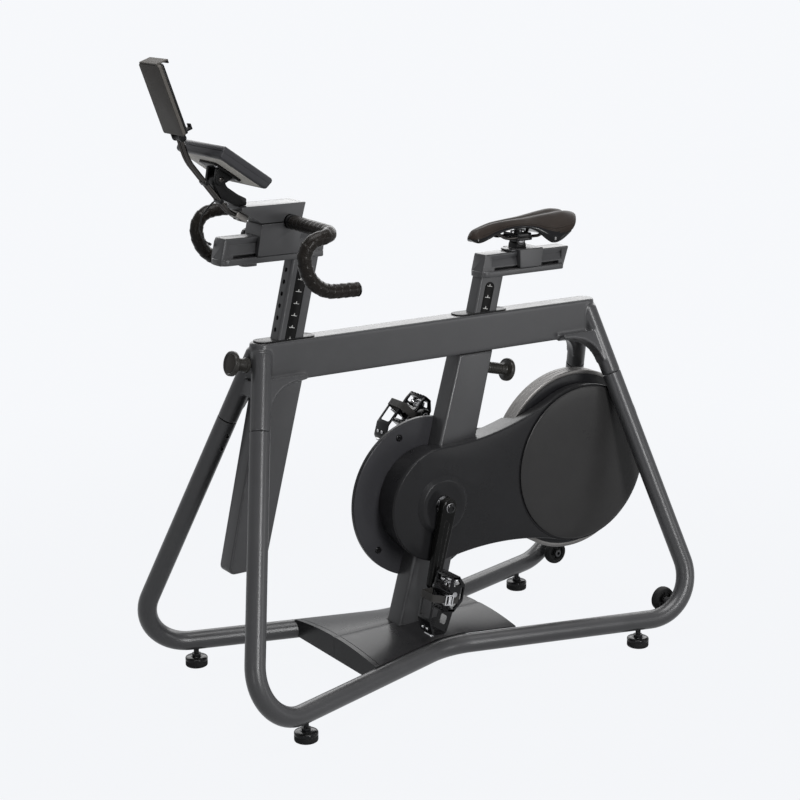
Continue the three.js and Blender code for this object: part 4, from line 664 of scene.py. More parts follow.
def sweep(points, radius, sides=16, bm=None):  # a round bar with closed ends along a line
    part = bmesh.new()
    headings = []
    for index, here in enumerate(points):
        before = points[index - 1] if index else here
        after = points[index + 1] if index < len(points) - 1 else here
        headings.append((after - before).normalized())
    turn = Vector((0, 0, 1)).rotation_difference(headings[0])
    spots = [Matrix.Translation(points[0]) @ turn.to_matrix().to_4x4()]
    for index in range(1, len(points)):
        turn = headings[index - 1].rotation_difference(headings[index]) @ turn
        spots.append(Matrix.Translation(points[index]) @ turn.to_matrix().to_4x4())
    bmesh.ops.create_circle(part, segments=sides, radius=radius)
    first = ring = part.edges[:]
    bmesh.ops.transform(part, matrix=spots[0], verts=part.verts)
    for before, after in zip(spots, spots[1:]):
        grown = bmesh.ops.extrude_edge_only(part, edges=ring)
        fresh = vertsOf(grown)
        edges = [item for item in grown["geom"] if isinstance(item, bmesh.types.BMEdge)]
        ring = [item for item in edges if all(vert in set(fresh) for vert in item.verts)]
        bmesh.ops.transform(part, matrix=after @ before.inverted(), verts=fresh)
    bmesh.ops.contextual_create(part, geom=first)
    bmesh.ops.contextual_create(part, geom=ring)
    bmesh.ops.recalc_face_normals(part, faces=part.faces)
    return merged(bm, part)


def objectFrom(bm, name="tool"):
    mesh = bpy.data.meshes.new(name)
    bm.to_mesh(mesh)
    bm.free()
    made = bpy.data.objects.new(name, mesh)
    scene.collection.objects.link(made)
    return made


def evaluated(objects):  # the first one's shape with its modifiers; all of them are then removed
    depsgraph = bpy.context.evaluated_depsgraph_get()
    shaped = bpy.data.meshes.new_from_object(objects[0].evaluated_get(depsgraph))
    result = bmesh.new()
    result.from_mesh(shaped)
    for made in objects:
        old = made.data
        bpy.data.objects.remove(made)
        bpy.data.meshes.remove(old)
    bpy.data.meshes.remove(shaped)
    return result


def combined(bm, others, operation="DIFFERENCE"):  # bm with each of the others cut away or joined on
    base = objectFrom(bm, "base")
    tools = [objectFrom(other) for other in others]
    for tool in tools:
        cut = base.modifiers.new("cut", "BOOLEAN")
        cut.operation = operation
        cut.solver = "EXACT"
        cut.object = tool
    result = evaluated([base, *tools])
    bmesh.ops.remove_doubles(result, verts=result.verts, dist=weld["local"])
    return result


def mirroredY(bm):  # turned over to the other side of the bike
    bmesh.ops.scale(bm, vec=(1, -1, 1), verts=bm.verts)
    bmesh.ops.reverse_faces(bm, faces=bm.faces)
    return bm


sides = {"left": 1, "right": -1}


beam = dict(top=778.0, height=85.0, width=50.0, rounding=4.0, filletAlong=85.0, filletDown=62.0, voxel=2.4)
tube = dict(
    radius=21.2, bend=100.0, waistBend=200.0, low=60.0, waist=(22.0, 104.0), seam=608.0, gap=0.3,
    corners={"front": (611.0, 281.0), "rear": (-588.0, 272.0)},
    seams={"front": (463.0, 68.0), "rear": (-467.5, 65.5)},
)
posts = dict(
    tilt=math.radians(13.1), depth=62.0, width=36.0, rounding=7.0, slide=0.5,
    x={"front": 357.7, "rear": -139.8},
)
beamLow = beam["top"] - beam["height"]


def legAxis(end, height):  # the left leg's axis at a height
    corner = Vector((*tube["corners"][end], tube["low"]))
    seam = Vector((*tube["seams"][end], tube["seam"]))
    return corner.lerp(seam, (height - tube["low"]) / (tube["seam"] - tube["low"]))


def onSide(point, side):
    return Vector((point[0], side * point[1], point[2]))


def baseTubeY(x):  # the left base tube's centre line in plan
    corner = tube["corners"]["front" if x > tube["waist"][0] else "rear"]
    waist = tube["waist"]
    return waist[1] + (corner[1] - waist[1]) * (x - waist[0]) / (corner[0] - waist[0])


def sideTubePoints(side):
    corners = [
        legAxis("front", tube["seam"] - tube["gap"]), Vector((*tube["corners"]["front"], tube["low"])),
        Vector((*tube["waist"], tube["low"])), Vector((*tube["corners"]["rear"], tube["low"])),
        legAxis("rear", tube["seam"] - tube["gap"]),
    ]
    return bentPath(
        [onSide(c, side) for c in corners], [tube["bend"], tube["waistBend"], tube["bend"]], 22, 30.0,
    )


def roundBolt(place, outward, radius, height, bm=None):  # a button head with a hex socket
    shares = [(0, 0.35), (0.42, 0.35), (0.46, 0.97), (0.55, 1), (0.8, 0.86), (1, 0.45)]
    profile = [*((radius * a, height * b) for a, b in shares), (radius, -0.5), (0, -0.5)]
    return spun(profile, 24, "z", bm, Matrix.Translation(place) @ facing(Vector(outward).normalized()))


def boltSet(places, outward, radius, height):
    made = None
    for place in places:
        made = roundBolt(place, outward, radius, height, made)
    return made


tubeEnds = dict(
    boltDrops=(28.0, 56.0), boltRadius=5.6, boltReach=3.4, wheel=(-528.0, 200.0, 85.0), wheelWidth=22.0,
    axle=5.0,
)
for sideName, side in sides.items():
    bm = sweep(sideTubePoints(side), tube["radius"], 56)
    wheelX, wheelY, wheelZ = tubeEnds["wheel"]
    halfWheel, thin = tubeEnds["wheelWidth"] / 2 + 0.3, tubeEnds["axle"]
    inner, outer, root = wheelY - halfWheel, wheelY + halfWheel, baseTubeY(wheelX) - 6
    for start, stop, radius, facets, edge in (  # the axle, its head and its root on the tube
        (inner - 4, root, thin, 24, 1.0), (inner - 4, inner, thin + 3.5, 24, 1.0),
        (outer, root, thin + 4, 28, 0.8),
    ):
        rod((wheelX, side * start, wheelZ), (wheelX, side * stop, wheelZ), radius, facets, edge, bm)
    addPiece(sideName + "_frame_tube", bm, "frame", "frame_paint", node=sideName + "_side_tube", smooth=35)
    bolts = None
    for end in ("front", "rear"):
        for drop in tubeEnds["boltDrops"]:
            axis = onSide(legAxis(end, tube["seam"] - drop), side)
            inward = Vector((0, -side, -0.42)).normalized()
            bolts = roundBolt(
                axis + inward * (tube["radius"] - 0.6), inward, tubeEnds["boltRadius"],
                tubeEnds["boltReach"], bolts,
            )
    addPiece(sideName + "_leg_bolts", bolts, "frame", "black_plastic", "gloss_black", smooth=40)
print("side tubes made")


def postCutter(postX, low, high, growth=0.0):  # the room for a post, leaning with it
    halfDepth, halfWidth = posts["depth"] / 2 + growth, posts["width"] / 2 + growth
    return leaned(block(rect(halfDepth, halfWidth, posts["rounding"] + growth), "xy", low, high), postX)


def leaned(bm, postX):
    bm.transform(Matrix.Translation((postX, 0, beam["top"])) @ Matrix.Rotation(-posts["tilt"], 4, "Y"))
    return bm


def filletWedge(end, side):  # fills the corner between the beam's underside and a leg
    inward = -1 if end == "front" else 1
    down = onSide((legAxis(end, 0) - legAxis(end, 1)).normalized(), side)
    along = Vector((inward, 0, 0))
    across = along.cross(down).normalized()
    origin = onSide(legAxis(end, beamLow), side) + along * (tube["radius"] - 1)
    bm = bmesh.new()
    steps, reach, drop = 14, beam["filletAlong"], beam["filletDown"]
    curve = []
    for step in range(steps + 1):
        t = step / steps
        curve.append((reach * (1 - t) ** 2, -(1 - t) ** 2 - 2 * t * (1 - t) + drop * t * t))
    outline = [(-12, -12), (reach, -12), *curve, (-12, drop)]
    verts = [bm.verts.new((a, b, -beam["width"] * 0.3)) for a, b in outline]
    bm.faces.new(verts)
    grown = bmesh.ops.extrude_face_region(bm, geom=bm.faces[:])
    bmesh.ops.translate(bm, verts=vertsOf(grown), vec=(0, 0, beam["width"] * 0.6))
    matrix = Matrix((
        (along.x, down.x, across.x, origin.x), (along.y, down.y, across.y, origin.y),
        (along.z, down.z, across.z, origin.z), (0, 0, 0, 1),
    ))
    bm.transform(matrix)
    bmesh.ops.recalc_face_normals(bm, faces=bm.faces)
    return bm


def legWeb(end):  # closes the fork between a pair of legs
    top, low = legAxis(end, beamLow + 8), legAxis(end, beamLow - 26)
    bm = bmesh.new()
    bmesh.ops.create_cube(bm, size=1.0)
    for vert in bm.verts:
        axis, half = (top, 12.0) if vert.co.z > 0 else (low, 8.0)
        vert.co = (
            axis.x + half * (1 if vert.co.x > 0 else -1), axis.y * (1 if vert.co.y > 0 else -1), axis.z,
        )
    bmesh.ops.recalc_face_normals(bm, faces=bm.faces)
    return bm


def sleeveBlank(growth):
    top = beamLow - 0.3 + growth
    slant = 1 / math.cos(posts["tilt"])
    lean = math.tan(posts["tilt"])
    topX = posts["x"]["front"] + (beam["top"] - top) * lean
    lowX = posts["x"]["front"] + (beam["top"] - sleeve["bottom"]) * lean
    corners = [
        (topX - sleeve["rear"] * slant - 4 - growth, top),
        (topX + sleeve["front"] * slant + 3 + growth, top),
        (lowX + sleeve["front"] * slant - 3, sleeve["bottom"], 13),
        (lowX - sleeve["rear"] * slant + 2, sleeve["bottom"], 13),
    ]
    half = sleeve["width"] / 2 + growth
    return block(corners, "xz", -half, half, edge=0 if growth > 0 else 5.5, edgeSteps=5)


def smoothed(bm, voxel, passes):  # one skin over joined forms, with soft inner corners
    made = objectFrom(bm, "form")
    remesh = made.modifiers.new("skin", "REMESH")
    remesh.mode = "VOXEL"
    remesh.voxel_size = voxel
    smooth = made.modifiers.new("ease", "SMOOTH")
    smooth.factor = 0.5
    smooth.iterations = passes
    return evaluated([made])


sleeve = dict(bottom=298.0, width=46.0, rear=40.0, front=50.0)
knobs = dict(frontDrop=65.0, rearDrop=121.0, pin=4.5)
frontX, rearX = legAxis("front", beam["top"]).x, legAxis("rear", beam["top"]).x
halfBeam = beam["width"] / 2
bar = block(
    oblong(rearX - halfBeam, frontX + halfBeam, -halfBeam, halfBeam, halfBeam - 0.1),
    "xy", beamLow, beam["top"], edge=beam["rounding"], steps=14,
)
for side in sides.values():
    for end in ("front", "rear"):
        top = onSide(legAxis(end, beam["top"] - tube["radius"]), side)
        low = onSide(legAxis(end, tube["seam"] + tube["gap"]), side)
        rod(low, top, tube["radius"], 56, 0, bar)
        merged(bar, filletWedge(end, side))
for end in ("front", "rear"):
    merged(bar, legWeb(end))
skin = smoothed(bar, beam["voxel"], 10)
holes = [postCutter(x, -beam["height"] * 1.3, beam["height"], posts["slide"]) for x in posts["x"].values()]
pinRoom = leaned(
    rod((0, 0, -knobs["frontDrop"]), (200, 0, -knobs["frontDrop"]), knobs["pin"] + 0.5, 24),
    posts["x"]["front"],
)
skin = combined(skin, [*holes, pinRoom, sleeveBlank(0.3)])
addPiece("beam", skin, "frame", "frame_paint", node="main_beam", smooth=50)
print("beam made")

tubeCut = postCutter(posts["x"]["front"], -415, 0, posts["slide"])
sleeveShape = combined(sleeveBlank(0), [tubeCut])
addPiece("front_sleeve", sleeveShape, "frame", "frame_paint", node="handlebar_sleeve", smooth=35)

seatTube = dict(
    width=52.0, rear=36.0, front=53.0, foot=76.0, bottom=66.3, rounding=7.0, housing=32.0, bore=24.45,
    crank=370.0,
)


def seatTubeCorners(growth=0.0):
    slant = 1 / math.cos(posts["tilt"])
    lean = math.tan(posts["tilt"])
    top, bottom = beamLow - 0.3 + growth, seatTube["bottom"] - growth
    topX = posts["x"]["rear"] + (beam["top"] - top) * lean
    lowX = posts["x"]["rear"] + (beam["top"] - bottom) * lean
    return [
        (topX - seatTube["rear"] * slant - growth, top), (topX + seatTube["front"] * slant + growth, top),
        (lowX + seatTube["foot"] * slant + growth, bottom),
        (lowX - seatTube["rear"] * slant - growth, bottom),
    ]


halfTube = seatTube["width"] / 2
tubeForm = block(seatTubeCorners(), "xz", -halfTube, halfTube, edge=seatTube["rounding"], edgeSteps=6)
housing = rod((0, -halfTube, seatTube["crank"]), (0, halfTube, seatTube["crank"]), seatTube["housing"], 48)
tubeForm = combined(combined(tubeForm, [housing], "UNION"), [
    rod((0, -halfTube - 1, seatTube["crank"]), (0, halfTube + 1, seatTube["crank"]), seatTube["bore"], 40),
    postCutter(posts["x"]["rear"], -370, 0, posts["slide"]),
    leaned(
        rod((0, 0, -knobs["rearDrop"]), (-90, 0, -knobs["rearDrop"]), knobs["pin"] + 0.5, 24),
        posts["x"]["rear"],
    ),
])
addPiece("seat_mast", tubeForm, "frame", "frame_paint", node="seat_tube", smooth=35)

collar = dict(length=136.0, width=42.0, height=2.5, shift=6.0, corner=16.0)
for end, node in (("front", "front_collar"), ("rear", "rear_collar")):
    x, half, wide = posts["x"][end] + collar["shift"], collar["length"] / 2, collar["width"] / 2
    corners = oblong(x - half, x + half, -wide, wide, collar["corner"])
    plate = block(corners, "xy", beam["top"] + 0.3, beam["top"] + 0.3 + collar["height"], edge=0.9, steps=8)
    plate = combined(plate, [postCutter(posts["x"][end], -20, 20, posts["slide"])])
    addPiece(end + "_post_guide", plate, "frame", "frame_paint", "black_plastic", node)
print("sleeve, seat mast and guides made")

# posts with index holes and graduated strips
postFacts = {
    "handlebar": dict(x=posts["x"]["front"], insert=290.0, rail=946.0, holes=1, body="handlebar_column"),
    "seat": dict(x=posts["x"]["rear"], insert=290.0, rail=857.0, holes=-1, body="seat_column"),
}
strip = dict(width=25.0, thick=1.5, margin=12.0, shift=3.0, pitch=25.0, hole=5.0, holeDepth=7.0)


for name, facts in postFacts.items():
    halfDepth, halfWidth = posts["depth"] / 2, posts["width"] / 2
    top = (facts["rail"] - 0.3 - beam["top"]) / math.cos(posts["tilt"]) + halfDepth
    form = block(rect(halfDepth, halfWidth, posts["rounding"]), "xy", -facts["insert"], top, steps=8)
    slotTop = (facts["rail"] - beam["top"]) / math.cos(posts["tilt"]) - strip["margin"]
    slotLow = 20 - facts["insert"]

    def slotForm(inset, low, high, edge=0.0):
        half = strip["width"] / 2 - inset
        a, b = strip["shift"] - half, strip["shift"] + half
        return block(
            oblong(a, b, slotLow + inset, slotTop - inset, half * 0.98), "xz", low, high, edge=edge,
            steps=10,
        )

    cuts = [slotForm(0, halfWidth - strip["thick"] - 0.3, halfWidth + 1)]
    along = 30 - facts["insert"]
    marks = None
    while along < slotTop:
        cuts.append(
            rod(
                (facts["holes"] * (halfDepth - strip["holeDepth"]), 0, along),
                (facts["holes"] * (halfDepth + 1), 0, along), strip["hole"], 20,
            )
        )
        along += strip["pitch"]
    trim = box(-200, 200, -60, 60, facts["rail"] - 0.3, facts["rail"] + 200)
    trim.transform(
        Matrix.Rotation(posts["tilt"], 4, "Y") @ Matrix.Translation((-facts["x"], 0, -beam["top"]))
    )
    form = combined(form, [trim, *cuts])
    addPiece(name + "_column", leaned(form, facts["x"]), facts["body"], "frame_paint", node=name + "_post")
    graduated = slotForm(0.3, halfWidth - strip["thick"], halfWidth - 0.35, edge=0.3)
    addPiece(
        name + "_strip", leaned(graduated, facts["x"]), facts["body"], "scale_insert",
        node=name + "_scale",
    )
    face = halfWidth - 0.36
    along = slotTop - 10
    while along > slotLow + 12:
        marks = box(
            strip["shift"] - 6.6, strip["shift"] + 6.6, face - 0.1, face + 0.12, along - 0.6,
            along + 0.6, bm=marks,
        )
        x = strip["shift"]
        block(
            [(x - 1.5, along + 0.5), (x + 1.5, along + 0.5), (x + 0.5, along + 5.2), (x - 0.5, along + 5.2)],
            "xz", face - 0.1, face + 0.12, bm=marks,
        )
        along -= strip["pitch"]
    addPiece(name + "_marks", leaned(marks, facts["x"]), facts["body"], "scale_insert", "white_print")
print("posts made")


drive = dict(crank=370.0, wheelX=-396.0, wheelZ=402.0)
leftCase = dict(
    radii=(129.0, 186.0, 700.0), face=56.0, back=-17.0, taper=9.0, rim=8.0, wall=3.0, boss=67.0,
    rise=8.0, opening=22.0,
)
rightCase = dict(radii=(183.0, 190.0, 130.0), face=-51.0, back=-23.0, taper=20.0, rim=8.0, wall=3.0)


def casingOutline(radii, inset):  # two discs joined by hollow curves, as points in X and Z
    a, b = Vector((0, drive["crank"])), Vector((drive["wheelX"], drive["wheelZ"]))
    ra, rb, rw = radii[0] - inset, radii[1] - inset, radii[2] + inset
    span = (b - a).length
    lean = math.atan2(b.y - a.y, b.x - a.x)
    turn = math.acos(((ra + rw) ** 2 + span ** 2 - (rb + rw) ** 2) / (2 * (ra + rw) * span))
    upper = a + Vector((math.cos(lean - turn), math.sin(lean - turn))) * (ra + rw)
    lower = a + Vector((math.cos(lean + turn), math.sin(lean + turn))) * (ra + rw)
    points = []

    def arc(centre, radius, start, end, clockwise, count):
        while not clockwise and end < start:
            end += 2 * math.pi
        while clockwise and end > start:
            end -= 2 * math.pi
        for k in range(count):
            t = start + (end - start) * k / count
            points.append((centre.x + radius * math.cos(t), centre.y + radius * math.sin(t)))

    def heading(start, end):
        return math.atan2(end.y - start.y, end.x - start.x)

    arc(a, ra, heading(a, lower), heading(a, upper), False, 72)
    arc(upper, rw, heading(upper, a), heading(upper, b), True, 20)
    arc(b, rb, heading(b, upper), heading(b, lower), False, 72)
    arc(lower, rw, heading(lower, b), heading(lower, a), True, 20)
    return points


def nextRing(bm, verts, ring, spots):  # one more ring of points joined to the last one
    fresh = set(vertsOf(bmesh.ops.extrude_edge_only(bm, edges=ring)))
    pairs = {
        edge.other_vert(v): v
        for v in fresh for edge in v.link_edges if edge.other_vert(v) not in fresh
    }
    verts = [pairs[v] for v in verts]
    for vert, where in zip(verts, spots):
        vert.co = where
    return verts, [bm.edges.get((verts[i], verts[(i + 1) % len(verts)])) for i in range(len(verts))]


def rings(spots):  # a closed skin through rings of the same number of points
    bm = bmesh.new()
    verts = [bm.verts.new(where) for where in spots[0]]
    ring = first = [bm.edges.new((verts[i], verts[(i + 1) % len(verts)])) for i in range(len(verts))]
    for more in spots[1:]:
        verts, ring = nextRing(bm, verts, ring, more)
    bmesh.ops.contextual_create(bm, geom=first)
    bmesh.ops.contextual_create(bm, geom=ring)
    bmesh.ops.recalc_face_normals(bm, faces=bm.faces)
    return bm


def ringStack(outlines):  # rings given as (y, points in X and Z)
    return rings([[(a, y, b) for a, b in points] for y, points in outlines])


def seatMastRoom():
    half = halfTube + 0.3
    return block(seatTubeCorners(0.3), "xz", -half, half)


def yRod(x, z, low, high, radius, sides=48):
    return rod((x, low, z), (x, high, z), radius, sides)


def yTurned(profile, steps, x, y, z):  # (radius, height along Y) pairs turned about a line along Y
    return spun(profile, steps, "y", None, Matrix.Translation((x, y, z)))


def casingShell(facts, outer, room):  # a cup between two stacks of outlines
    made = [
        ringStack(
            [(y, casingOutline(facts["radii"], inset)) for y, inset in stack]
        ) for stack in (outer, room)
    ]
    return combined(made[0], made[1:])


def crankBoss():  # the low round boss about the crank, before it is put on a face
    r, h = leftCase["boss"], leftCase["rise"]
    return spun([
        (0, -2), (r - 1, -2), (r - 0.4, 0.2), (r - 1.6, 1.0), (r - 8.5, h - 1.2), (r - 10.2, h - 0.25),
        (r - 12.5, h), (r - 19, h), (r - 21, h - 0.3), (r - 25, h - 1.6), (r - 40, h - 2.6), (0, h - 2.6),
    ], 96, "y")


# left casing, a cup that opens towards the middle
f, t = leftCase["face"], leftCase["taper"]
outer = [
    (leftCase["back"], t), (f - leftCase["rim"], 0), (f - 3.2, 0), (f - 1.6, 0.5), (f - 0.5, 1.6),
    (f, 3.2),
]
room = [(leftCase["back"] - 1, t + 3), (f - leftCase["rim"], 3), (f - leftCase["wall"], 3.2)]
bossForm = crankBoss()
bossForm.transform(Matrix.Translation((0, f, drive["crank"])))
shell = combined(casingShell(leftCase, outer, room), [bossForm], "UNION")
shell = combined(shell, [
    yRod(drive["wheelX"], drive["wheelZ"], -99, 25, 217, 96),
    seatMastRoom(),
    yRod(0, drive["crank"], -67, f + 50, leftCase["opening"], 48),
    yTurned([
        (178, -2.6), (184.4, -2.6), (186.4, -1.2), (187, 0.6), (187, 3), (178, 3), (178, -2.6),
    ], 144, drive["wheelX"], f, drive["wheelZ"]),
])
addPiece("left_case", shell, "frame", "casing_plastic", node="left_casing", smooth=28)
disc = yTurned([
    (0, 0.3), (179.5, 0.3), (180.6, 0.7), (181, 1.3), (180.4, 2.0), (178.5, 2.6), (172, 3.5), (155, 4.9),
    (125, 5.9),
    (85, 6.6), (40, 6.95), (0, 7.0),
], 144, drive["wheelX"], f, drive["wheelZ"])
addPiece("left_disc", disc, "frame", "casing_plastic", "disc_plastic", "left_disc_cover", smooth=35)

# right casing and its closing plate
back, face, t = rightCase["back"], rightCase["face"], rightCase["taper"]
outer = [
    (back, 0), (back - rightCase["rim"], 0), (face + 5, t - 5.5), (face + 2, t - 1.6),
    (face + 0.6, t + 1.6), (face, t + 5),
]
room = [(0, 3), (back - rightCase["rim"], 3), (face + 6, t - 2), (face + rightCase["wall"], t + 3)]
bossForm = crankBoss()
bossForm.transform(Matrix.Translation((0, face, drive["crank"])) @ Matrix.Rotation(math.pi, 4, "X"))
shell = combined(casingShell(rightCase, outer, room), [bossForm], "UNION")
shell = combined(shell, [yRod(0, drive["crank"], -99, 0, leftCase["opening"], 48), seatMastRoom()])
addPiece("right_case", shell, "frame", "casing_plastic", node="right_casing", smooth=28)

low = back + 0.3
r = rightCase["radii"][0]
plate = yTurned([
    (0, 0), (r - 1, 0), (r, 0.8), (r - 0.4, 2.1), (r - 1.8, 2.8), (r - 4, 3), (158, 4.4), (140, 5), (0, 5),
], 144, 0, low, drive["crank"])
screwReach = 159.0
screwSpots = [
    (screwReach * math.cos(a), drive["crank"] + screwReach * math.sin(a))
    for a in (math.radians(65.7), math.radians(-40.6))
]
cups = [yRod(x, z, low + 1.2, low + 12, 8.6, 28) for x, z in screwSpots]
plate = combined(plate, [
    yRod(drive["wheelX"], drive["wheelZ"], -99, 99, 220, 96), yRod(0, drive["crank"], -99, 99, 33, 40),
    seatMastRoom(), *cups,
])
behind = [v for v in plate.verts if v.co.x < -120]
bmesh.ops.delete(plate, geom=behind, context="VERTS")
# the plate takes the console's lighter bluish plastic, which also paints in a lamp's bluish reflection on it
addPiece("front_plate", plate, "frame", "casing_plastic", "console_plastic", "right_casing_plate", smooth=28)
screws = boltSet([(x, low + 1.5, z) for x, z in screwSpots], (0, 1, 0), 7.2, 2.8)
addPiece("plate_screws", screws, "frame", "black_plastic", "gloss_black")
print("casings made")

# flywheel: bare steel rim round black sides
fly = dict(radius=212.0, half=20.0, rimDepth=60.0, hub=25.0, bore=10.3)
r, h, hub, inner = fly["radius"], fly["half"], fly["hub"], fly["radius"] - fly["rimDepth"]


def evenProfile(half):  # a profile given to its middle and followed back on the other side
    return [*half, *((radius, -along) for radius, along in reversed(half))]


wheelSpot = (drive["wheelX"], 0, drive["wheelZ"])
rimHalf = [
    (r - 9, -h + 1.2), (r - 5.5, -h), (r - 1.4, -h + 0.6), (r, -h + 2.4), (r, -6), (r - 0.5, -5.4),
    (r - 0.5, -4.6), (r, -4),
]
rim = yTurned([*evenProfile(rimHalf), rimHalf[0]], 160, *wheelSpot)
addPiece("flywheel_rim", rim, "flywheel_body", "flywheel_steel", node="flywheel")
webHalf = [
    (fly["bore"], -hub), (36, -hub), (38, -hub + 2), (40, -9), (46, -7), (inner - 6, -7), (inner, -10),
    (inner + 4, -h + 1.5), (inner + 8, -h + 0.2), (r - 12, -h + 0.2), (r - 9, -h + 1.2),
]
web = yTurned([*evenProfile(webHalf), webHalf[0]], 128, *wheelSpot)
addPiece("flywheel_web", web, "flywheel_body", "black_paint")
shaft = yTurned([
    (0, -35.3), (8.5, -35.3), (10, -33.8), (10, 36), (26.5, 36), (28, 37.5), (28, 44.5), (26.5, 46),
    (12, 46), (8, 44.6), (0, 44.6),
], 48, *wheelSpot)
addPiece("flywheel_axle", shaft, "flywheel_body", "steel", node="flywheel_shaft")

# crank: spindle with its pulley, arms with a long groove and bolts
crank = dict(
    inner=67.0, outer=85.0, length=175.0, lean=math.radians(12.8), eye=20.0, tip=13.5, bore=11.3,
    spindle=11.0, end=88.0, socket=6.2, pulley=90.0, pulleySpan=(36.0, 46.0), axle=6.0, groove=1.2,
)
r, end, socket, wheel = crank["spindle"], crank["end"], crank["socket"], crank["pulley"]
low, high = crank["pulleySpan"]
spindle = yTurned([
    (0, -end), (socket, -end), (socket, -end + 4), (r - 2, -end + 4), (r - 1.2, -end), (r, -end + 1.2),
    (r, low), (wheel - 1, low), (wheel, low + 1), (wheel, high - 1), (wheel - 1, high), (r, high),
    (r, end - 1.2), (r - 1.2, end), (r - 2, end), (r - 2.4, end - 4), (socket, end - 4), (socket, end),
    (0, end),
], 64, 0, 0, drive["crank"])
addPiece("spindle", spindle, "crank", "steel", node="crank_spindle")


def armOutline(eye, tip, length, steps=22, start=0.0):  # two rounds joined by straight sides
    lean = math.asin((eye - tip) / (length - start))
    points = []
    for k in range(steps + 1):
        a = -lean + (math.pi + 2 * lean) * k / steps
        points.append((eye * math.cos(a), -start + eye * math.sin(a)))
    for k in range(steps + 1):
        a = math.pi + lean + (math.pi - 2 * lean) * k / steps
        points.append((tip * math.cos(a), -length + tip * math.sin(a)))
    return points


def placedOn(side, form, place):  # a left side's form, turned over where it is for the right
    if side < 0:
        mirroredY(form)
    form.transform(place)
    return form


def crankTurn(side):
    return Matrix.Rotation(-crank["lean"] if side > 0 else math.pi - crank["lean"], 4, "Y")


inner, outer, length = crank["inner"], crank["outer"], crank["length"]
armSteps = [  # how far along Y, and how much smaller the eye and the tip are there
    (inner, 2.5, 2.5), (inner + 0.7, 0.9, 0.9), (inner + 2.5, 0, 0), (outer - 5.0, 0, 0),
    (outer - 1.6, 1.4, 1.4), (outer - 0.3, 3.6, 3.2), (outer, 4.6, 4.2),
]
for sideName, side in sides.items():
    place = Matrix.Translation((0, 0, drive["crank"])) @ crankTurn(side)
    arm = ringStack([
        (y, armOutline(crank["eye"] - less, crank["tip"] - lessTip, length)) for y, less, lessTip in armSteps
    ])
    groove = ringStack([
        (outer - crank["groove"], armOutline(6.0, 3.8, length - 26, 14, 36)),
        (outer + 1, armOutline(8.2, 5.6, length - 26, 14, 36)),
    ])
    arm = combined(arm, [groove, yRod(0, 0, -20, 120, crank["bore"], 40)])
    axle = yTurned([
        (0, outer - 3), (9, outer - 3), (9, outer + 3.4), (8.4, outer + 4), (7.6, outer + 4),
        (7.2, outer + 7),
        (crank["axle"], outer + 7.6), (crank["axle"], 158.2), (crank["axle"] - 0.8, 159), (0, 159),
    ], 36, 0, 0, -length)
    roundBolt((0, inner + 1.0, -length), (0, -1, 0), 6.4, 1.8, axle)
    cap = roundBolt((0, outer + 2.8, 0), (0, 1, 0), 10.2, 3.2)
    for name, form, slot, finish, node, smooth in (
        ("_arm", arm, "arm_alloy", None, sideName + "_crank_arm", 26),
        ("_pedal_axle", axle, "steel", None, None, 30),
        ("_crank_cap", cap, "steel", "gloss_black", None, 30),
    ):
        addPiece(
            sideName + name, placedOn(side, form, place), "crank", slot, finish, node, smooth=smooth,
        )
print("flywheel and cranks made")

# pedals: cage plates round a barrel, a sprung cleat holder below and a toe cage with its strap above
pedal = dict(
    low=93.0, high=155.0, half=40.0, thick=12.0,
    pitch={"left": math.radians(78), "right": math.radians(48)},
)
toe = dict(reach=58.0, height=46.0, wall=3.0, inset=8.0)


def pedalBody():
    low, high, half, thick = pedal["low"], pedal["high"], pedal["half"], pedal["thick"]
    bm = None
    for a, b in ((low, low + 6), (high - 6, high)):  # side plates, waisted round the barrel
        corners = [
            (-half, -thick + 4, 3), (-21, -thick - 15, 6), (15, -thick - 15, 6), (half, -thick + 4, 3),
            (half, thick - 3, 3), (22, thick, 5), (-22, thick, 5), (-half, thick - 3, 3),
        ]
        plate = block(corners, "xz", a, b, edge=1.2, steps=5)
        openings = [[(-17, -thick - 11, 2), (12, -thick - 11, 2), (14, -15, 2), (-16, -15, 2)]]
        for end in (1, -1):
            openings.insert(0, [(end * 34, -5, 2), (end * 21, -16, 3), (end * 17, 7, 3), (end * 34, 6, 2)])
        windows = [block(opening, "xz", a - 1, b + 1, steps=4) for opening in openings]
        bm = merged(bm, combined(plate, windows))
    for end in (-1, 1):  # front and rear bars with teeth
        a, b = sorted((end * (half - 8), end * half))
        box(a, b, low, high, -thick + 2, thick - 2, 1.4, bm)
        for k in range(5):
            y = low + 9 + (high - low - 18) * k / 4
            a, b = sorted((end * (half - 3.4), end * (half - 0.2)))
            box(a, b, y - 3.2, y + 3.2, thick - 3, thick, 0.5, bm)
    barrel = [
        (0, low + 0.4), (11, low + 0.4), (12.8, low + 2.2), (12.8, low + 12), (10.4, low + 16),
        (10.4, high - 16), (12.8, high - 12), (12.8, high - 2.2), (11, high - 0.4), (7.5, high - 0.4),
        (7.0, high - 2.5), (0, high - 2.5),
    ]
    spun(barrel, 36, "y", bm)
    return bm


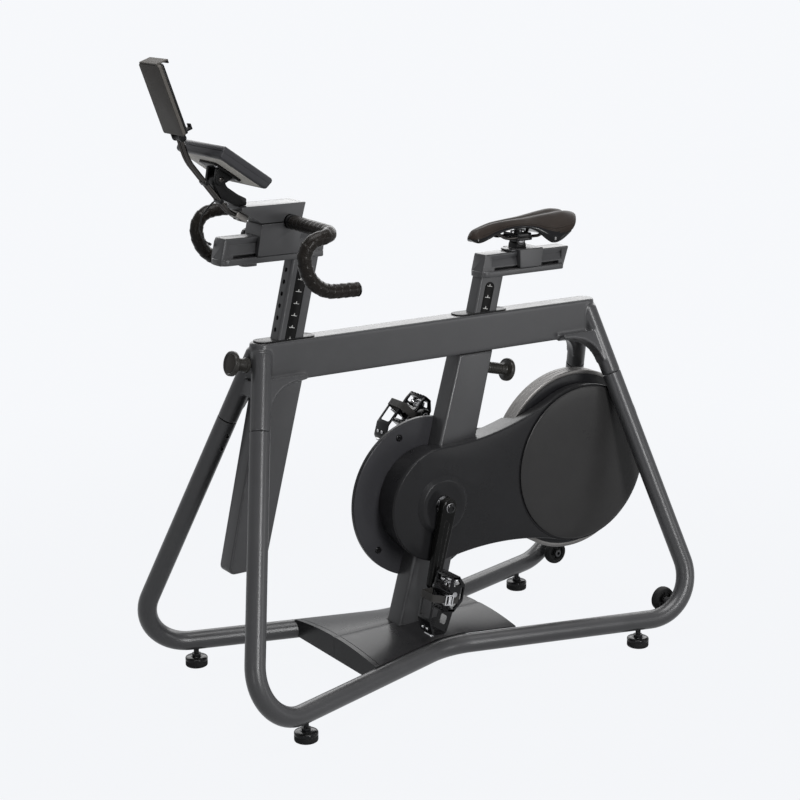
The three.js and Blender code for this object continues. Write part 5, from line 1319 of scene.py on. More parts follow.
def cleatHolder():  # chrome jaws and twin coil springs
    low, high, thick = pedal["low"], pedal["high"], pedal["thick"]
    middle = (low + high) / 2
    corners = [(14, -4, 2), (30, -6, 3), (31, -11, 3), (22, -thick, 2), (13, -9, 2)]
    bm = block(corners, "xz", middle - 15, middle + 15, edge=0.8, steps=4)
    corners = [(-30, -4, 2), (-14, -3, 2), (-15, -8, 2), (-24, -thick, 3), (-31, -10, 3)]
    block(corners, "xz", middle - 15, middle + 15, edge=0.8, steps=4, bm=bm)
    turns, perTurn, coilRadius, coilLength = 5, 14, 4.6, 13.0
    for offset in (-22.0, 9.0):
        coil = []
        for k in range(turns * perTurn + 1):
            a = 2 * math.pi * k / perTurn
            along = middle + offset + coilLength * k / (turns * perTurn)
            coil.append(Vector((-21 + coilRadius * math.cos(a), along, -3 + coilRadius * math.sin(a))))
        sweep(coil, 1.1, 8, bm=bm)
    rod((-21, middle - 23, -3), (-21, middle + 23, -3), 2.4, 16, 0.5, bm)
    return bm


def toeCageForm():  # a bent band that narrows over the toe, with slots
    low, high = pedal["low"] + toe["inset"], pedal["high"] - toe["inset"]
    front, under = pedal["half"] + 0.3, -pedal["thick"]

    def outline(inset):
        return [
            (front + inset, under + inset),
            (front + toe["reach"] - 4 - inset, under + 8 + inset, 14 - inset),
            (front + toe["reach"] - inset, 30 - inset, 12 - inset),
            (front + 26, toe["height"] - inset, 10), (front - 30, toe["height"] - inset),
            (front - 30, 18), (front + inset, 14),
        ]

    band = block(outline(0), "xz", low, high, edge=1.1, steps=8)
    inside = block(outline(toe["wall"]), "xz", low - 8, high + 8, steps=8)
    mouth = box(front - 60, front + toe["wall"], low - 8, high + 8, 14, toe["height"] - toe["wall"] - 0.5)
    middle = (low + high) / 2
    window = box(front + 14, front + 34, middle - 12, middle + 12, -90, 14, 5, edgeSteps=4)
    slot = box(
        front - 22, front + 18, middle - 17.5, middle + 17.5, toe["height"] - 14, toe["height"] + 12, 5,
        edgeSteps=4,
    )
    return combined(band, [inside, mouth, window, slot])


def strapForm():  # a webbing strap round the pedal and over the foot
    low, high = pedal["low"] - 0.2, pedal["high"] + 0.9
    corners = [
        (0, low + 20, -pedal["thick"] - 1.9), (0, low, -pedal["thick"] - 1.9), (0, low - 0.1, 20),
        (0, low + 9, toe["height"] + 3.2),
        (0, high - 9, toe["height"] + 3.2), (0, high, 20), (0, high, -pedal["thick"] - 1.9),
        (0, high - 20, -pedal["thick"] - 1.9),
    ]
    points = bentPath(corners, [4, 60, 9, 9, 60, 4], 8)
    outline = [(-8, -0.9), (8, -0.9), (8.4, 0), (8, 0.9), (-8, 0.9), (-8.4, 0)]
    part = sweepFlat(points, outline)
    part.transform(Matrix.Translation((12, 0, 0)))
    return part


def sweepFlat(points, outline):  # a band that keeps its width along X
    spots = []
    for index, point in enumerate(points):
        before, after = points[max(0, index - 1)], points[min(len(points) - 1, index + 1)]
        out = (after - before).normalized().cross(Vector((1, 0, 0))).normalized()
        spots.append([point + Vector((a, 0, 0)) + out * b for a, b in outline])
    return rings(spots)


def buckleForm():  # a steel cam buckle on the strap's outer run, and the bolts at the cage's toe
    y = pedal["high"] + 1.6
    bm = None
    middle = (pedal["low"] + pedal["high"]) / 2
    toeX = pedal["half"] + toe["reach"] + 0.3
    for offset in (-8.0, 8.0):
        bm = roundBolt((toeX, middle + offset, 20), (1, 0, 0), 4.6, 3.0, bm)
        roundBolt((toeX - 14, middle + offset, 38.4), (0.6, 0, 0.8), 3.6, 2.4, bm)
    box(toeX - 1.5, toeX + 3.5, middle - 12, middle + 12, 24, 29, 1.2, bm)
    for z in (4.0, 22.0):
        bm = rod((1.5, y + 2.4, z), (22.5, y + 2.4, z), 1.5, 16, 0.5, bm)
    for x in (1.8, 22.2):
        bm = box(x - 1.2, x + 1.2, y - 0.6, y + 4.2, 1.5, 24.5, 0.6, bm)
    roller = spun(
        [(0, -8.5), (3.4, -8.5), (3.9, -7.8), (3.9, 7.8), (3.4, 8.5), (0, 8.5)], 20, "x", None,
        Matrix.Translation((12, y + 3.4, 13)),
    )
    merged(bm, roller)
    return bm


for sideName, side in sides.items():
    tip = crankTurn(side) @ Vector((0, 0, -crank["length"])) + Vector((0, 0, drive["crank"]))
    place = Matrix.Translation((tip.x, 0, tip.z)) @ Matrix.Rotation(pedal["pitch"][sideName], 4, "Y")
    body = sideName + "_pedal_body"
    for name, form, slot, finish, node in (
        ("_pedal_cage", pedalBody(), "black_plastic", "gloss_black", sideName + "_pedal"),
        ("_cleat_holder", cleatHolder(), "steel", "chrome", None),
        ("_toe_guard", toeCageForm(), "black_plastic", "gloss_black", sideName + "_toe_cage"),
        ("_toe_strap", strapForm(), "black_plastic", "strap_webbing", None),
        ("_buckle", buckleForm(), "steel", "chrome", None),
    ):
        addPiece(sideName + name, placedOn(side, form, place), body, slot, finish, node, smooth=35)
print("pedals made")

def hexagon(radius, rounding):
    turns = [math.pi * k / 3 for k in range(6)]
    return [(radius * math.cos(a), radius * math.sin(a), rounding) for a in turns]


# feet: rubber pad in a moulded cup, lock nut and threaded stem
feet = {"front": 465.0, "rear": -430.0}
padProfile = [(0, 0), (22.4, 0), (24.2, 1.2), (24.8, 3), (24.8, 11.6), (24.2, 12.6), (0, 12.6)]
cupProfile = [
    (0, 12.7), (23, 12.7), (24.6, 13.4), (25, 14.6), (25, 18.4), (24.2, 20), (22.4, 21), (18.6, 21.8),
    (13, 22.2), (12, 23.2), (0, 23.2),
]
stemProfile = [(0, 23)]
z = 29.0
while z < 47:
    stemProfile += [(5.9, z), (5.9, z + 0.45), (5.1, z + 0.75), (5.1, z + 1.0)]
    z += 1.3
stemProfile += [(5.6, 48.4), (0, 48.4)]
for end, x in feet.items():
    for sideName, side in sides.items():
        place = Matrix.Translation((x, side * baseTubeY(x), 0))
        start = end + "_" + sideName
        body = start + "_foot_body"
        addPiece(
            start + "_pad", spun(padProfile, 48, "z", None, place), body, "rubber", None,
            start + "_foot", smooth=35,
        )
        addPiece(
            start + "_pad_cup", spun(cupProfile, 48, "z", None, place), body, "rubber", "gloss_black",
            smooth=35,
        )
        nut = block(hexagon(11, 0.6), "xy", 23.3, 28.8, edge=0.7, steps=2, edgeSteps=2)
        nut.transform(place)
        spun(stemProfile, 28, "z", nut, place)
        addPiece(start + "_foot_stem", nut, body, "rubber", "black_paint")

# transport wheels: a rubber tyre on a five-hole hub
for sideName, side in sides.items():
    place = Matrix.Translation(onSide(tubeEnds["wheel"], side))
    if side < 0:
        place = place @ Matrix.Rotation(math.pi, 4, "X")
    tyreHalf = [(20, -9.4), (21.4, -11), (24.5, -10.2), (27.6, -7.6), (28.8, -3.4)]
    tyre = spun(
        [*tyreHalf, (29, 0), *evenProfile(tyreHalf)[len(tyreHalf):], tyreHalf[0]], 64, "y", None, place,
    )
    addPiece(sideName + "_tyre", tyre, sideName + "_wheel_body", "black_plastic", "rubber", smooth=40)
    hubHalf = [(5.4, -10), (8.6, -10), (9.4, -9), (9.6, -5), (17.5, -5), (18.4, -8.6), (19.9, -9)]
    hub = spun([*evenProfile(hubHalf), hubHalf[0]], 60, "y", None, place)
    holes = []
    for k in range(5):
        a = 2 * math.pi * (k + 0.25) / 5
        hole = yRod(13.6 * math.cos(a), 13.6 * math.sin(a), -12, 12, 3.1, 20)
        hole.transform(place)
        holes.append(hole)
    addPiece(
        sideName + "_wheel_hub", combined(hub, holes), sideName + "_wheel_body", "black_plastic",
        node=sideName + "_transport_wheel",
    )
print("feet and wheels made")

# pull knobs
pull = dict(tip=31.6, frontReach=81.5, rearReach=36.3)


def outFrom(reach, profile):  # a profile moved along its axis
    return [(radius, reach + along) for radius, along in profile]


start, reach = pull["tip"], pull["frontReach"]
knobSpot = Matrix.Translation((0, 0, -knobs["frontDrop"]))
knob = spun([(0, start), (4.5, start), *outFrom(reach, [
    (4.5, 0), (15.4, 0), (16, 0.7), (16, 5.4), (15, 6.6), (13.6, 7.2), (13.2, 14), (13.8, 22), (15.8, 28.5),
    (20, 30.6), (24.4, 31.2), (25.6, 32.4), (26, 34), (26, 39), (25.6, 40.6), (24.2, 42), (22.4, 42.2),
    (21, 41.4), (19.6, 39.8), (12, 39.2), (0, 39),
])], 72, "x", None, knobSpot)
insert = spun(
    outFrom(reach, [(0, 38.6), (19.2, 39.4), (18.4, 40.4), (16, 40.9), (0, 41.4)]), 64, "x", None, knobSpot,
)
for name, form, finish, node in (
    ("front_knob", knob, "knob_plastic", "front_pull_knob"),
    ("front_knob_insert", insert, "knob_face", None),
):
    form = leaned(form, posts["x"]["front"])
    addPiece(name, form, "front_knob_body", "black_plastic", finish, node, smooth=35)
reach = pull["rearReach"]
profile = [(0, start), (4.5, start), *outFrom(reach, [(4.5, 8), (10.6, 8), (11.6, 9)])]
x = reach + 12
while x < reach + 50:  # the grip's grooves
    profile += [(12.9, x), (12.9, x + 2.1), (11.7, x + 2.7), (11.7, x + 3.6)]
    x += 4.3
profile += outFrom(reach, [
    (11.8, 56), (13.6, 60), (19, 62.4), (24.4, 63), (25.6, 64.2), (26, 65.8), (26, 70.6), (25.6, 72.2),
    (24.2, 73.4), (22.8, 73.6), (21.6, 73), (20.4, 71.6), (12, 71), (0, 70.8),
])
turnedBack = Matrix.Rotation(math.pi, 4, "Z") @ Matrix.Translation((0, 0, -knobs["rearDrop"]))
nut = block(hexagon(13, 0.8), "yz", reach, reach + 7.6, edge=0.8, steps=2, edgeSteps=2)
nut.transform(turnedBack)
insert = spun(
    outFrom(reach, [(0, 70.6), (19.8, 71.2), (19, 72.2), (16.6, 72.7), (0, 73.1)]), 64, "x", None,
    turnedBack,
)
for name, form, finish, node, smooth in (
    ("rear_knob", spun(profile, 72, "x", None, turnedBack), "knob_plastic", "rear_pull_knob", 35),
    ("rear_knob_nut", nut, "steel", None, 30), ("rear_knob_insert", insert, "knob_face", None, 35),
):
    form = leaned(form, posts["x"]["rear"])
    addPiece(name, form, "rear_knob_body", "black_plastic", finish, node, smooth=smooth)
print("pull knobs made")

# base covers, two halves that meet on a ridge
cover = dict(rear=-140.0, front=250.0, floor=47.0, ridge=98.0, edge=84.0, wall=3.0, waist=113.0, inset=5.0)


def coverSpace(side, fromX, toX, drop, floor, overhang, across=14, stations=30):
    spots = []
    for i in range(stations + 1):
        x = fromX + (toX - fromX) * i / stations
        edge = max(baseTubeY(x), cover["waist"]) - cover["inset"] + overhang
        spots.append([(x, side * 0.3, floor), (x, side * edge, floor)])
        for k in range(across, -1, -1):
            y = 0.3 + (edge - 0.3) * k / across
            fall = (cover["ridge"] - cover["edge"]) * (y / edge) ** 2
            crown = 1.6 * max(0.0, 1 - y / 4) ** 2 if not drop else 0.0  # a rolled edge along the ridge
            spots[-1].append((x, side * y, cover["ridge"] - fall - drop - crown))
    return rings(spots)


for sideName, side in sides.items():
    form = coverSpace(side, cover["rear"], cover["front"], 0, cover["floor"], 0)
    under = coverSpace(
        side, cover["rear"] - 1, cover["front"] - cover["wall"], cover["wall"], cover["floor"] - 1, 2, 6,
        10,
    )
    tubeRoom = sweep(sideTubePoints(side), tube["radius"] + 0.3, 56)
    low, high = sorted((side * -3, side * 200))
    groove = box(
        cover["front"] - 12.6, cover["front"] - 11.2, low, high, cover["floor"] + 14, cover["ridge"] + 5,
    )
    keep = coverSpace(side, cover["front"] - 20, cover["front"] - 2, 1.1, cover["floor"], 2, 14, 4)
    groove = combined(groove, [keep])
    form = combined(form, [under, tubeRoom, seatMastRoom(), groove])
    addPiece(
        sideName + "_cover", form, "frame", "casing_plastic", node=sideName + "_base_cover", bevel=0.9,
        rings=3,
    )
print("base covers made")

# rails: a bar with undercut flanks over a wider ledge
railFacts = {
    "handlebar": dict(
        outline=[(280, 946), (520, 946), (510, 992), (506, 1000), (274, 1000)], ledge=959.0, low=946.0,
        ends=(296.0, 498.0), body="handlebar_column",
    ),
    "seat": dict(
        outline=[(-124, 857), (-135.6, 907), (-369, 907), (-352.7, 857)], ledge=870.0, low=857.0,
        ends=(-348.0, -152.0), body="seat_column",
    ),
}
rail = dict(half=21.0, ledgeHalf=27.0, lip=4.0, undercut=5.0, slot=6.6, slotDepth=10.0, corner=20.0)


for name, facts in railFacts.items():
    outline, ledge, low = facts["outline"], facts["ledge"], facts["low"]
    top = max(z for _, z in outline)
    form = block(
        [(x, z, 3) for x, z in outline], "xz", -rail["half"], rail["half"], edge=2.4, edgeSteps=4,
        steps=4,
    )
    floorEnds = [x for x, z in outline if z == low]
    a, b, wide = min(floorEnds), max(floorEnds), rail["ledgeHalf"]
    shelf = block(
        [(a, -wide, 8), (b, -wide, rail["corner"]), (b, wide, rail["corner"]), (a, wide, 8)], "xy", low,
        ledge, edge=2.2, edgeSteps=4, steps=10,
    )
    a, b = min(x for x, _ in outline) - 1, max(x for x, _ in outline) + 1
    plan = block(
        [(a, -60), (b - 1.6, -rail["half"], 9), (b - 1.6, rail["half"], 9), (a, 60)], "xy", low - 5,
        top + 5, steps=8,
    )
    form = combined(combined(form, [plan], "INTERSECT"), [shelf], "UNION")
    cuts = []
    a, b = facts["ends"]
    for side in (-1, 1):
        h = rail["half"]
        profile = [
            (side * (h + 1), top - rail["lip"]), (side * h, top - rail["lip"]),
            (side * (h - rail["undercut"]), top - rail["lip"] - 10),
            (side * (h - 0.6), ledge + rail["slot"] + 2), (side * (h + 1), ledge + rail["slot"] + 2),
        ]
        cuts.append(block(profile, "yz", a, b))
        near, far = side * (h + 8), side * (h - rail["slotDepth"])
        high = ledge + rail["slot"]
        profile = [(near, ledge + 0.2), (near, high), (far, high), (far, ledge + 0.2)]
        cuts.append(block(profile, "yz", a + 8, b - 8))
    form = combined(form, cuts)
    addPiece(name + "_track", form, facts["body"], "frame_paint", node=name + "_rail")
    # painted shade: black strips laid in each slot stand in for the shade inside it
    slotShade = None
    for side in (-1, 1):
        wall = rail["half"] - rail["slotDepth"]
        near, far = sorted((side * (wall + 0.4), side * (wall + 2)))
        slotShade = box(a + 8.3, b - 8.3, near, far, ledge + 0.5, ledge + rail["slot"] - 0.3, 0.4, slotShade)
    addPiece(name + "_track_liners", slotShade, facts["body"], "black_plastic")
    if name == "handlebar":
        lug = block(
            [(431, -15, 4), (463, -15, 12), (463, 15, 12), (431, 15, 4)], "xy", low - 7.5, low - 0.2,
            edge=1.4, steps=8,
        )
        addPiece(name + "_track_lug", lug, facts["body"], "frame_paint")
    screws = boltSet([(x, 0, low + 0.2) for x in (a + 26, (a + b) / 2, b - 26)], (0, 0, -1), 5.0, 1.8)
    addPiece(name + "_track_screws", screws, facts["body"], "black_plastic", "gloss_black")
print("rails made")

barX, barZ = 363, 1025  # the middle of the handlebar
hingeX, hingeZ = 513, 1119  # the console's hinge
tabletX, tabletZ = 590, 1204  # the tablet holder's hinge

# handlebar slider with its cap
slider = [(344, 960, 2), (440, 960, 2), (428.3, 1023.4, 1), (336, 1023.4, 1)]


def barRoom():
    return yRod(barX, barZ, -60, 60, 15.3, 56)


form = block(slider, "xz", -32, 32, edge=3.4, edgeSteps=6, steps=3)
form = combined(form, [box(300, 500, -21.5, 21.5, 950, 1000.5), barRoom()])
addPiece("slider_body", form, "handlebar_carriage", "frame_paint", node="handlebar_slider")
gasket = block(oblong(337.5, 426.5, -30.5, 30.5, 3), "xy", 1023.45, 1026.35)
addPiece("slider_gasket", combined(gasket, [barRoom()]), "handlebar_carriage", "black_plastic")
capOutline = [(336, 1026.4, 1), (430, 1026.4, 1), (474, 1054, 3), (472, 1062, 1), (326, 1062, 2)]
form = block(capOutline, "xz", -32, 32, edge=2.4, edgeSteps=5, steps=4)
tray = block(oblong(334, 466, -28, 28, 4), "xy", 1061.2, 1064)
form = combined(form, [tray, barRoom()])
addPiece("slider_lid", form, "handlebar_carriage", "frame_paint", node="slider_cap")
lidPlate = block(oblong(334.6, 465.4, -27.4, 27.4, 3.6), "xy", 1061.25, 1061.95, edge=0.3)
addPiece("slider_lid_plate", lidPlate, "handlebar_carriage", "frame_paint")
knobPlace = Matrix.Translation((420, -32, 994)) @ Matrix.Rotation(math.pi / 2, 4, "X")
lockKnob = spun(
    [
        (0, 0.3), (5, 0.3), (5, 5), (11.6, 5.6), (13, 7.2), (13, 16), (12.2, 18), (10, 19), (8.6, 18.2),
        (0, 17.8),
    ],
    48, "z", None, knobPlace,
)
flutes = []
for k in range(10):
    a = 2 * math.pi * k / 10
    x, y = 14.6 * math.cos(a), 14.6 * math.sin(a)
    flute = rod((x, y, 7.4), (x, y, 20), 2.6, 16)
    flute.transform(knobPlace)
    flutes.append(flute)
addPiece("lock_knob", combined(lockKnob, flutes), "slider_knob_body", "black_plastic", node="slider_knob")
print("slider made")

# handlebar: a bent bar wrapped in overlapping tape, with end plugs
bar = dict(radius=15.0, bare=13.4, tapeStart=47.0, pitch=17.0, rise=1.5, sides=40, step=1.9)
barCorners = [
    (321, -220, 912), (435, -220, 915), (449, -220, 1013), (375, -220, barZ), (barX, -45, barZ),
    (barX, 45, barZ), (375, 220, barZ), (449, 220, 1013), (435, 220, 915), (321, 220, 912),
]
barLine = bentPath(barCorners, [70, 38, 34, 100, 100, 34, 38, 70], 20)


def wrapForm(points, radius, pitch, rise, sides, step):  # each turn laps a little over the one before
    line = spaced(points, step)
    spots = []
    turn = None
    travelled = 0.0
    total = sum((b - a).length for a, b in zip(line, line[1:]))
    for index, point in enumerate(line):
        before, after = line[max(0, index - 1)], line[min(len(line) - 1, index + 1)]
        heading = (after - before).normalized()
        if turn is None:
            turn = Vector((0, 0, 1)).rotation_difference(heading)
        else:
            turn = previous.rotation_difference(heading) @ turn
            travelled += (point - line[index - 1]).length
        previous = heading
        ending = min(1.0, travelled / 3.0, (total - travelled) / 3.0)
        size = radius - 1.3 * (1 - ending) ** 2
        ring = []
        for k in range(sides):
            share = (travelled / pitch + k / sides) % 1.0
            lap = min(share / 0.12, 1.0) * (1 - share * 0.85)
            across = size - rise + rise * lap
            a = 2 * math.pi * k / sides
            ring.append(point + turn @ Vector((across * math.cos(a), across * math.sin(a), 0)))
        spots.append(ring)
    return rings(spots)


addPiece(
    "bar_core", sweep([Vector((barX, -58, barZ)), Vector((barX, 58, barZ))], bar["bare"], 48),
    "handlebar_carriage", "bar_tape", "gloss_black", "handlebar", smooth=35,
)
for sideName, side in sides.items():
    half = [Vector(p) for p in barLine if side * p.y > bar["tapeStart"] + 1]
    if side < 0:
        half.reverse()
    start = Vector((barX, side * bar["tapeStart"], barZ))
    tapeLine = [start, *half]
    tapeLine[-1] = tapeLine[-1] + (tapeLine[-2] - tapeLine[-1]).normalized() * 4.0
    form = wrapForm(tapeLine, bar["radius"], bar["pitch"], bar["rise"], bar["sides"], bar["step"])
    addPiece(sideName + "_bar_wrap", form, "handlebar_carriage", "bar_tape", smooth=50)
    collarForm = yTurned([
        (13.5, 0), (15, 0.3), (15.2, 1.4), (15.2, 7.6), (14.9, 8.6), (13.5, 8.8), (13.5, 0),
    ], 48, barX, 38 if side > 0 else -46.8, barZ)
    outward = (tapeLine[-1] - tapeLine[-2]).normalized()
    plug = spun(
        [
            (0, -3), (12, -3), (12, 0.2), (14.3, 0.4), (14.6, 1.4), (13.8, 2.8), (11.4, 3.6), (9.6, 3.2),
            (0, 3.0),
        ],
        40, "z", None, Matrix.Translation(tapeLine[-1]) @ facing(outward),
    )
    merged(plug, collarForm)
    addPiece(sideName + "_bar_plug", plug, "handlebar_carriage", "bar_tape", "gloss_black", smooth=35)
print("handlebar made")

# console on its hinged bracket
hinge = placeAt(hingeX, 0, hingeZ, math.radians(-34.3))
shellForm = block(
    [(-60, 20, 7), (62, 20, 7), (66, 40, 5), (62, 46, 5), (-66, 46, 7)], "xz", -92, 92, edge=4.4,
    edgeSteps=6,
)
recess = block(rect(54, 78, 5), "xy", 43.5, 60)
seam = combined(
    box(-90, 90, -120, 120, 33.6, 34.5),
    [block([(-58, 20, 7), (60, 20, 7), (63.9, 40, 5), (61, 45, 5), (-63.6, 45, 7)], "xz", -91, 91, edge=4)],
)
shellForm = combined(shellForm, [recess, seam])
addPiece(
    "console_case", shellForm, "console", "casing_plastic", "console_plastic", "console_shell",
    place=hinge,
)
under = block(oblong(-52, 54, -85, 85, 6), "xy", 19.75, 20.6, edge=0.4)
addPiece("console_back", under, "console", "casing_plastic", "pale_plastic", place=hinge)
glass = block(rect(53.7, 77.7, 5), "xy", 43.6, 45.5, edge=0.4)
addPiece("console_glass", glass, "console", "screen_glass", node="console_screen", place=hinge)
panel = block(rect(45, 68, 2), "xy", 45.5, 45.56, steps=4)
addPiece("console_panel", panel, "console", "screen_glass", "dark_panel", place=hinge)
bracket = block(rect(34, 36, 6), "xy", 14.7, 19.7, edge=1.2)
for side in (-1, 1):
    near, far = sorted((side * 13.4, side * 22.4))
    block(
        [(-22, 15.5, 3), (-12, -2, 8), (-8, -11, 7), (8, -11, 7), (12, -2, 8), (20, 15.5, 3)], "xz",
        near, far, edge=0.8, steps=8, bm=bracket,
    )
addPiece("console_mount", bracket, "console", "black_plastic", node="console_bracket", place=hinge)
screws = boltSet([(x, y, 14.9) for x, y, _ in rect(26, 28, 0)], (0, 0, -1), 4.4, 1.8)
addPiece("console_mount_screws", screws, "console", "black_plastic", "steel", place=hinge)
armOut = [
    (452, 1062.3, 3), (476, 1062.3, 4), (508, 1080, 18), (523, 1108, 8), (523, 1120, 8.5),
    (513, 1128, 8.5), (503, 1120, 6),
    (495, 1102, 14), (470, 1085, 14), (452, 1076, 4),
]
armForm = block(armOut, "xz", -13, 13, edge=1.2)
ribs = [
    block(
        [
            (462, 1067, 1), (476, 1068.5, 4), (503, 1086, 8), (514, 1108, 3), (506, 1108, 3),
            (496, 1093, 8), (476, 1079, 8), (462, 1074, 1),
        ],
        "xz", side * 13 - 1.2, side * 13 + 1.2, steps=4,
    )
    for side in (-1, 1)
]
armForm = combined(armForm, ribs)
addPiece("console_stem", armForm, "handlebar_carriage", "black_plastic", node="console_arm")
pin = rod((hingeX, -23.6, hingeZ), (hingeX, 23.6, hingeZ), 4.0, 28, 0.6)
for side in (-1, 1):
    roundBolt((hingeX, side * 22.8, hingeZ), (0, side, 0), 5.6, 2.4, pin)
addPiece("console_pin", pin, "handlebar_carriage", "black_plastic", "dark_chrome")
print("console made")

# tablet holder on twin rods
noseStart, noseEnd = Vector((428, 0, 1025.15)), Vector((474, 0, 1054))
along = (noseEnd - noseStart).normalized()
noseOut = Vector((along.z, 0, -along.x))
noseLength = (noseEnd - noseStart).length
root = noseStart + along * noseLength * 0.75 + noseOut * 7
rods = None
for side in (-1, 1):
    corners = [root, root + Vector((22, 0, 10)), Vector((575, 0, 1158)), Vector((tabletX, 0, tabletZ))]
    line = [Vector((p.x, side * 7, p.z)) for p in bentPath(corners, [60, 90], 16)]
    rods = sweep(line, 4.0, 28, bm=rods)
addPiece("stalk_rods", rods, "handlebar_carriage", "chrome", "dark_chrome", "tablet_stalk", smooth=35)
barrelHalf = [(3.6, -12), (6.4, -12), (7, -11.2), (7, -7.5), (6.2, -7)]
barrel = yTurned([*evenProfile(barrelHalf), barrelHalf[0]], 32, tabletX, 0, tabletZ)
rod((tabletX, -18, tabletZ), (tabletX, 18, tabletZ), 3.5, 24, 0.5, barrel)
for share in (0.42, 0.78):
    p = Vector((575, 0, 1158)).lerp(root + Vector((22, 0, 10)), share)
    spread = box(-5, 5, -11.6, 11.6, -4.8, 4.8, 1.2)
    spread.transform(Matrix.Translation(p) @ Matrix.Rotation(math.radians(-52), 4, "Y"))
    merged(barrel, spread)
addPiece("stalk_fittings", barrel, "handlebar_carriage", "chrome", "black_plastic")
clampPlace = Matrix((
    (along.x, 0, noseOut.x, noseStart.x), (0, 1, 0, 0), (along.z, 0, noseOut.z, noseStart.z), (0, 0, 0, 1),
))
clampForm = block(
    [
        (noseLength * 0.45, 0.4, 1), (noseLength * 0.95, 0.4, 1), (noseLength * 0.95, 13, 3),
        (noseLength * 0.45, 13, 3),
    ],
    "xz", -16, 16, edge=1.4, steps=5,
)
clampForm.transform(clampPlace)
addPiece("stalk_clamp", clampForm, "handlebar_carriage", "chrome", "dark_steel")
screwSpots = [clampPlace @ Vector((noseLength * 0.7, side * 10.5, 12.8)) for side in (-1, 1)]
screws = boltSet(screwSpots, noseOut, 3.4, 1.6)
addPiece("stalk_screws", screws, "handlebar_carriage", "chrome", "gloss_black")

tabletPlace = placeAt(tabletX, 0, tabletZ, math.radians(20))
plateForm = block(oblong(-42, 42, 9, 153, 5), "yz", 2.6, 10, edge=1.4)
addPiece("tablet_back", plateForm, "tablet_holder", "tablet_plastic", node="tablet_plate", place=tabletPlace)
tray = block(oblong(-41, 41, 10, 152.4, 5), "yz", -3, 2.5, edge=1.0, edgeSteps=2)
pad = block(oblong(-36, 36, 28, 147, 4), "yz", -6, -1.6, steps=5)
tray = combined(tray, [pad])
for side in (-1, 1):
    near, far = sorted((side * 12.5, side * 17.5))
    block(
        [(-3, 16), (-7, -1, 6), (-5, -7.5, 6), (6, -7.5, 6), (8, -1, 6), (8, 16)], "xz", near, far,
        edge=0.6, bm=tray,
    )
addPiece("tablet_tray", tray, "tablet_holder", "tablet_plastic", "black_plastic", place=tabletPlace)
ribs = None
for k in range(9):
    z = 32 + 13.5 * k
    ribs = box(-2.5, -1.7, -33, 33, z, z + 5, 0.35, ribs)
addPiece("tablet_grip", ribs, "tablet_holder", "tablet_plastic", "rubber", place=tabletPlace)
hook = box(-17, -3.4, 22, 36, 13, 19, 1.2)
box(-17, -13.6, 22, 36, 14, 25, 1.2, hook)
addPiece("tablet_foot", hook, "tablet_holder", "black_plastic", node="tablet_hook", place=tabletPlace)
clipForm = block(
    [(-17, 153.3, 1), (10, 153.3, 1), (10, 156.3, 2.4), (-17, 156.3, 2.4)], "xz", -36, 36, edge=0.9,
    steps=5,
)
addPiece(
    "clip_cap", clipForm, "tablet_clip_body", "black_plastic", "tablet_plastic", "tablet_clip",
    place=tabletPlace,
)
lip = box(-16.8, -13.8, -36, 36, 148, 154.2, 1.0)
for side in (-1, 1):
    rod((0, side * 21, 130), (0, side * 21, 153.5), 2.2, 18, 0.4, lip)
addPiece("clip_lip", lip, "tablet_clip_body", "black_plastic", place=tabletPlace)
cableLine = bentPath([
    (482, -14.9, 1086), (508, -28, 1066), (523, -44, 1040), (528, -48, 1012), (523, -39, 992),
    (515, -22.7, 984),
], [14, 18, 16, 12], 8)
cableForm = sweep(cableLine, 1.6, 16)
for end, along in ((0, 1), (-1, -1)):
    direction = (cableLine[end + along] - cableLine[end]).normalized()
    rod(cableLine[end] + direction * 0.2, cableLine[end] + direction * 7, 2.7, 20, 0.7, cableForm)
addPiece("console_lead", cableForm, "handlebar_carriage", "cable_jacket", node="console_cable", smooth=35)
print("tablet holder made")

# seat carriage, clamp lever, saddle rails and their clamp
tiltX, tiltZ = -238, 930  # the pin that the saddle tilts on
form = block(
    [(-283, 871, 3), (-224, 871, 3), (-222, 912.5, 2), (-287, 912.5, 2)], "xz", -32, 32, edge=3.4,
    edgeSteps=6, steps=4,
)
form = combined(form, [box(-300, -200, -21.5, 21.5, 860, 907.5)])
stub = block(
    [(-252, 912.6), (-224, 912.6), (-226, 930, 11.9), (-250, 930, 11.9)], "xz", -15, 15, edge=1.2,
    steps=8,
)
addPiece("carriage", form, "seat_slide", "frame_paint", node="seat_carriage")
stub = combined(stub, [yRod(tiltX, tiltZ, -60, 60, 12.4, 48)])
addPiece("carriage_horn", stub, "seat_slide", "black_plastic")
leverForm = block(
    [(-221.7, -22, 3), (-209, -22, 5), (-204, -14, 5), (-204, 14, 5), (-209, 22, 5), (-221.7, 22, 3)],
    "xy", 908, 912, edge=1.2,
)
addPiece("lever_paddle", leverForm, "seat_lever_body", "steel", "frame_paint", "seat_lever")
saddleRails = None
for side in (-1, 1):
    corners = [(-152, side * 8, 962), (-192, side * 20, 938), (-278, side * 22, 938), (-304, side * 34, 952)]
    line = bentPath(corners, [30, 6], 12)
    saddleRails = sweep(line, 3.5, 24, bm=saddleRails)
addPiece("rail_wires", saddleRails, "saddle_body", "steel", "dark_chrome", "saddle_rails", smooth=35)
clampLow = block(oblong(-260, -216, -29, 29, 6), "xy", 931, 937.6, edge=1.4)
clampHigh = block(oblong(-258, -218, -28.6, 28.6, 6), "xy", 938.4, 947, edge=1.8)
wireRoom = None
for side in (-1, 1):
    wireRoom = rod((-290, side * 22.4, 938), (-180, side * 19.8, 938), 3.7, 24, 0, wireRoom)
lower = combined(clampLow, [wireRoom.copy()])
upper = combined(clampHigh, [wireRoom])
merged(lower, upper)
drumHalf = [(0, -15), (11, -15), (12, -14), (12, -11.5), (11.2, -11)]
